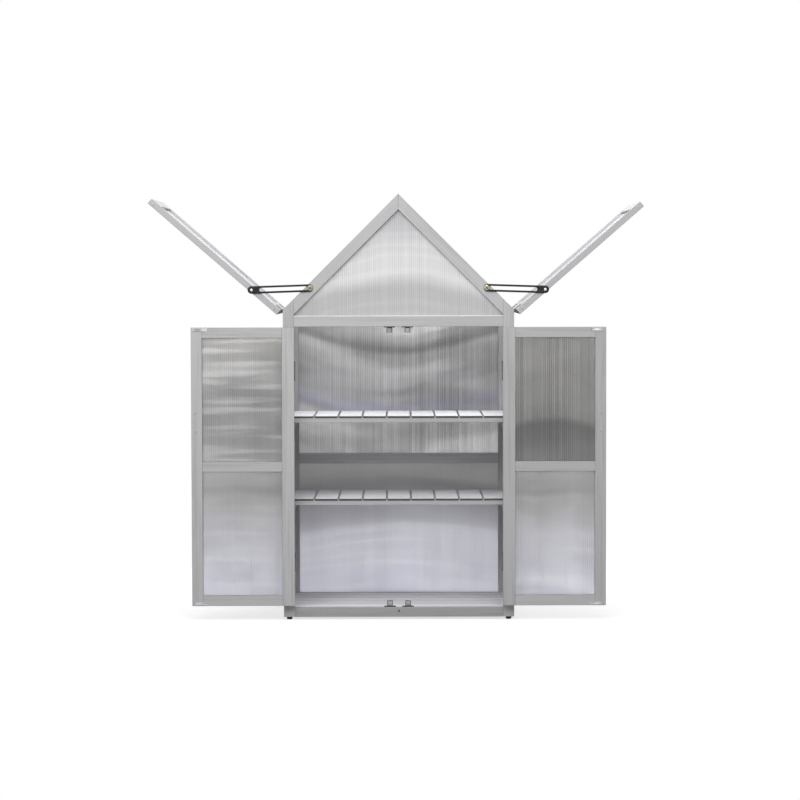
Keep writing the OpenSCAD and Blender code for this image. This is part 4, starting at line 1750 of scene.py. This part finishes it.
@dataclass(frozen=True)
class Studio:
    """A white surround, a pale floor that fades into it, soft lamps and the camera."""

    fill: float = 0.27
    floor_r: float = 2.4
    fade_from: float = 0.8
    floor_dim: Colour = (0.36, 0.36, 0.37)
    floor_seen: Colour = (0.42, 0.42, 0.425)
    floor_lift: Colour = (0.68, 0.68, 0.68)
    camera_at: Colour = (0.00145, -8.4008, 1.11399)
    yaw: float = 0.00037538
    pitch: float = 0.0473638
    roll: float = -0.0022831
    lens: float = 112.33
    lamps: tuple[Softbox, ...] = (
        Softbox("Front softbox", (-0.4, -2.4, 2.7), (0.0, 0.0, 1.15), 3.2, 2.4, 74.0),
        Softbox("Top softbox", (0.2, 0.1, 4.4), (0.0, 0.0, 0.0), 2.5, 2.5, 90.0),
        Softbox("Back softbox", (0.6, 2.8, 2.2), (0.0, 0.0, 0.7), 2.0, 1.6, 16.0),
    )

    def build(self) -> None:
        """Sets up everything round the object."""
        bpy.context.scene.view_settings.view_transform = "Standard"
        self._world()
        self._floor()
        for lamp in self.lamps:
            lamp.build()
        self._camera()

    def _world(self) -> None:
        """A white background, with a dimmer light on the object."""
        world = bpy.data.worlds.new("White surround")
        bpy.context.scene.world = world
        world.use_nodes = True
        world.node_tree.nodes.clear()
        graph = Graph(world.node_tree)
        strength = graph.math("MULTIPLY_ADD", self._seen(graph), 1.0 - self.fill, self.fill)
        background = graph.add("ShaderNodeBackground")
        background.inputs["Color"].default_value = (1.0, 1.0, 1.0, 1.0)
        graph.put(strength, background.inputs["Strength"])
        output = graph.add("ShaderNodeOutputWorld")
        graph.put(background.outputs[0], output.inputs["Surface"])

    def _seen(self, graph: Graph) -> bpy.types.NodeSocket:
        """1 where the camera sees a thing, itself or in gloss or glass, and else 0."""
        path = graph.add("ShaderNodeLightPath").outputs
        seen = graph.math("MAXIMUM", path["Is Camera Ray"], path["Is Glossy Ray"])
        return graph.math("MAXIMUM", seen, path["Is Transmission Ray"])

    def _floor(self) -> None:
        """A round floor whose rim fades into the surround."""
        bm = bmesh.new()
        bmesh.ops.create_circle(bm, cap_ends=True, radius=self.floor_r, segments=96)
        mesh = bpy.data.meshes.new("Studio floor")
        bm.to_mesh(mesh)
        bm.free()
        material = bpy.data.materials.new("Pale floor")
        material.use_nodes = True
        material.node_tree.nodes.clear()
        graph = Graph(material.node_tree)
        place = graph.add("ShaderNodeTexCoord").outputs["Object"]
        length = graph.add("ShaderNodeVectorMath", operation="LENGTH")
        graph.put(place, length.inputs[0])
        cover = graph.spread(length.outputs["Value"], (self.fade_from, self.floor_r), (1.0, 0.0))
        seen = self._seen(graph)
        graph.principled(
            Base_Color=graph.mixed(seen, self.floor_dim, self.floor_seen),
            Roughness=0.9,
            Alpha=cover,
            Emission_Color=graph.mixed(seen, (0.0, 0.0, 0.0), self.floor_lift),
            Emission_Strength=1.0,
        )
        mesh.materials.append(material)
        floor = bpy.data.objects.new("Studio floor", mesh)
        bpy.context.scene.collection.objects.link(floor)

    def _camera(self) -> None:
        """The camera, at the photograph's place and turn."""
        ahead = Vector(
            (
                math.sin(self.yaw) * math.cos(self.pitch),
                math.cos(self.yaw) * math.cos(self.pitch),
                -math.sin(self.pitch),
            )
        )
        level = Vector((math.cos(self.yaw), -math.sin(self.yaw), 0.0))
        upward = level.cross(ahead)
        right = level * math.cos(self.roll) + upward * math.sin(self.roll)
        above = upward * math.cos(self.roll) - level * math.sin(self.roll)
        camera = bpy.data.cameras.new("Camera")
        camera.sensor_width = 36.0
        camera.lens = self.lens
        camera.clip_start = 0.1
        camera.clip_end = 60.0
        holder = bpy.data.objects.new("Camera", camera)
        turned = Matrix((right, above, -ahead)).transposed().to_4x4()
        holder.matrix_world = Matrix.Translation(Vector(self.camera_at)) @ turned
        bpy.context.scene.collection.objects.link(holder)
        bpy.context.scene.camera = holder


def main() -> None:
    """Builds the sub-assemblies and the studio, in order."""
    logging.basicConfig(level=logging.INFO, format="%(name)s: %(message)s")
    both = (Side.LEFT, Side.RIGHT)
    parts = [
        FrontFrame(),
        BackFrame(),
        *(SideFrame(side) for side in both),
        FloorAndShelves(),
        *(Door(side) for side in both),
        *(RoofPanel(side) for side in both),
        *(Stay(side) for side in both),
        BodyHardware(),
        Studio(),
    ]
    for part in parts:
        LOG.info("building %s", type(part).__name__)
        part.build()


if __name__ == "__main__":
    main()
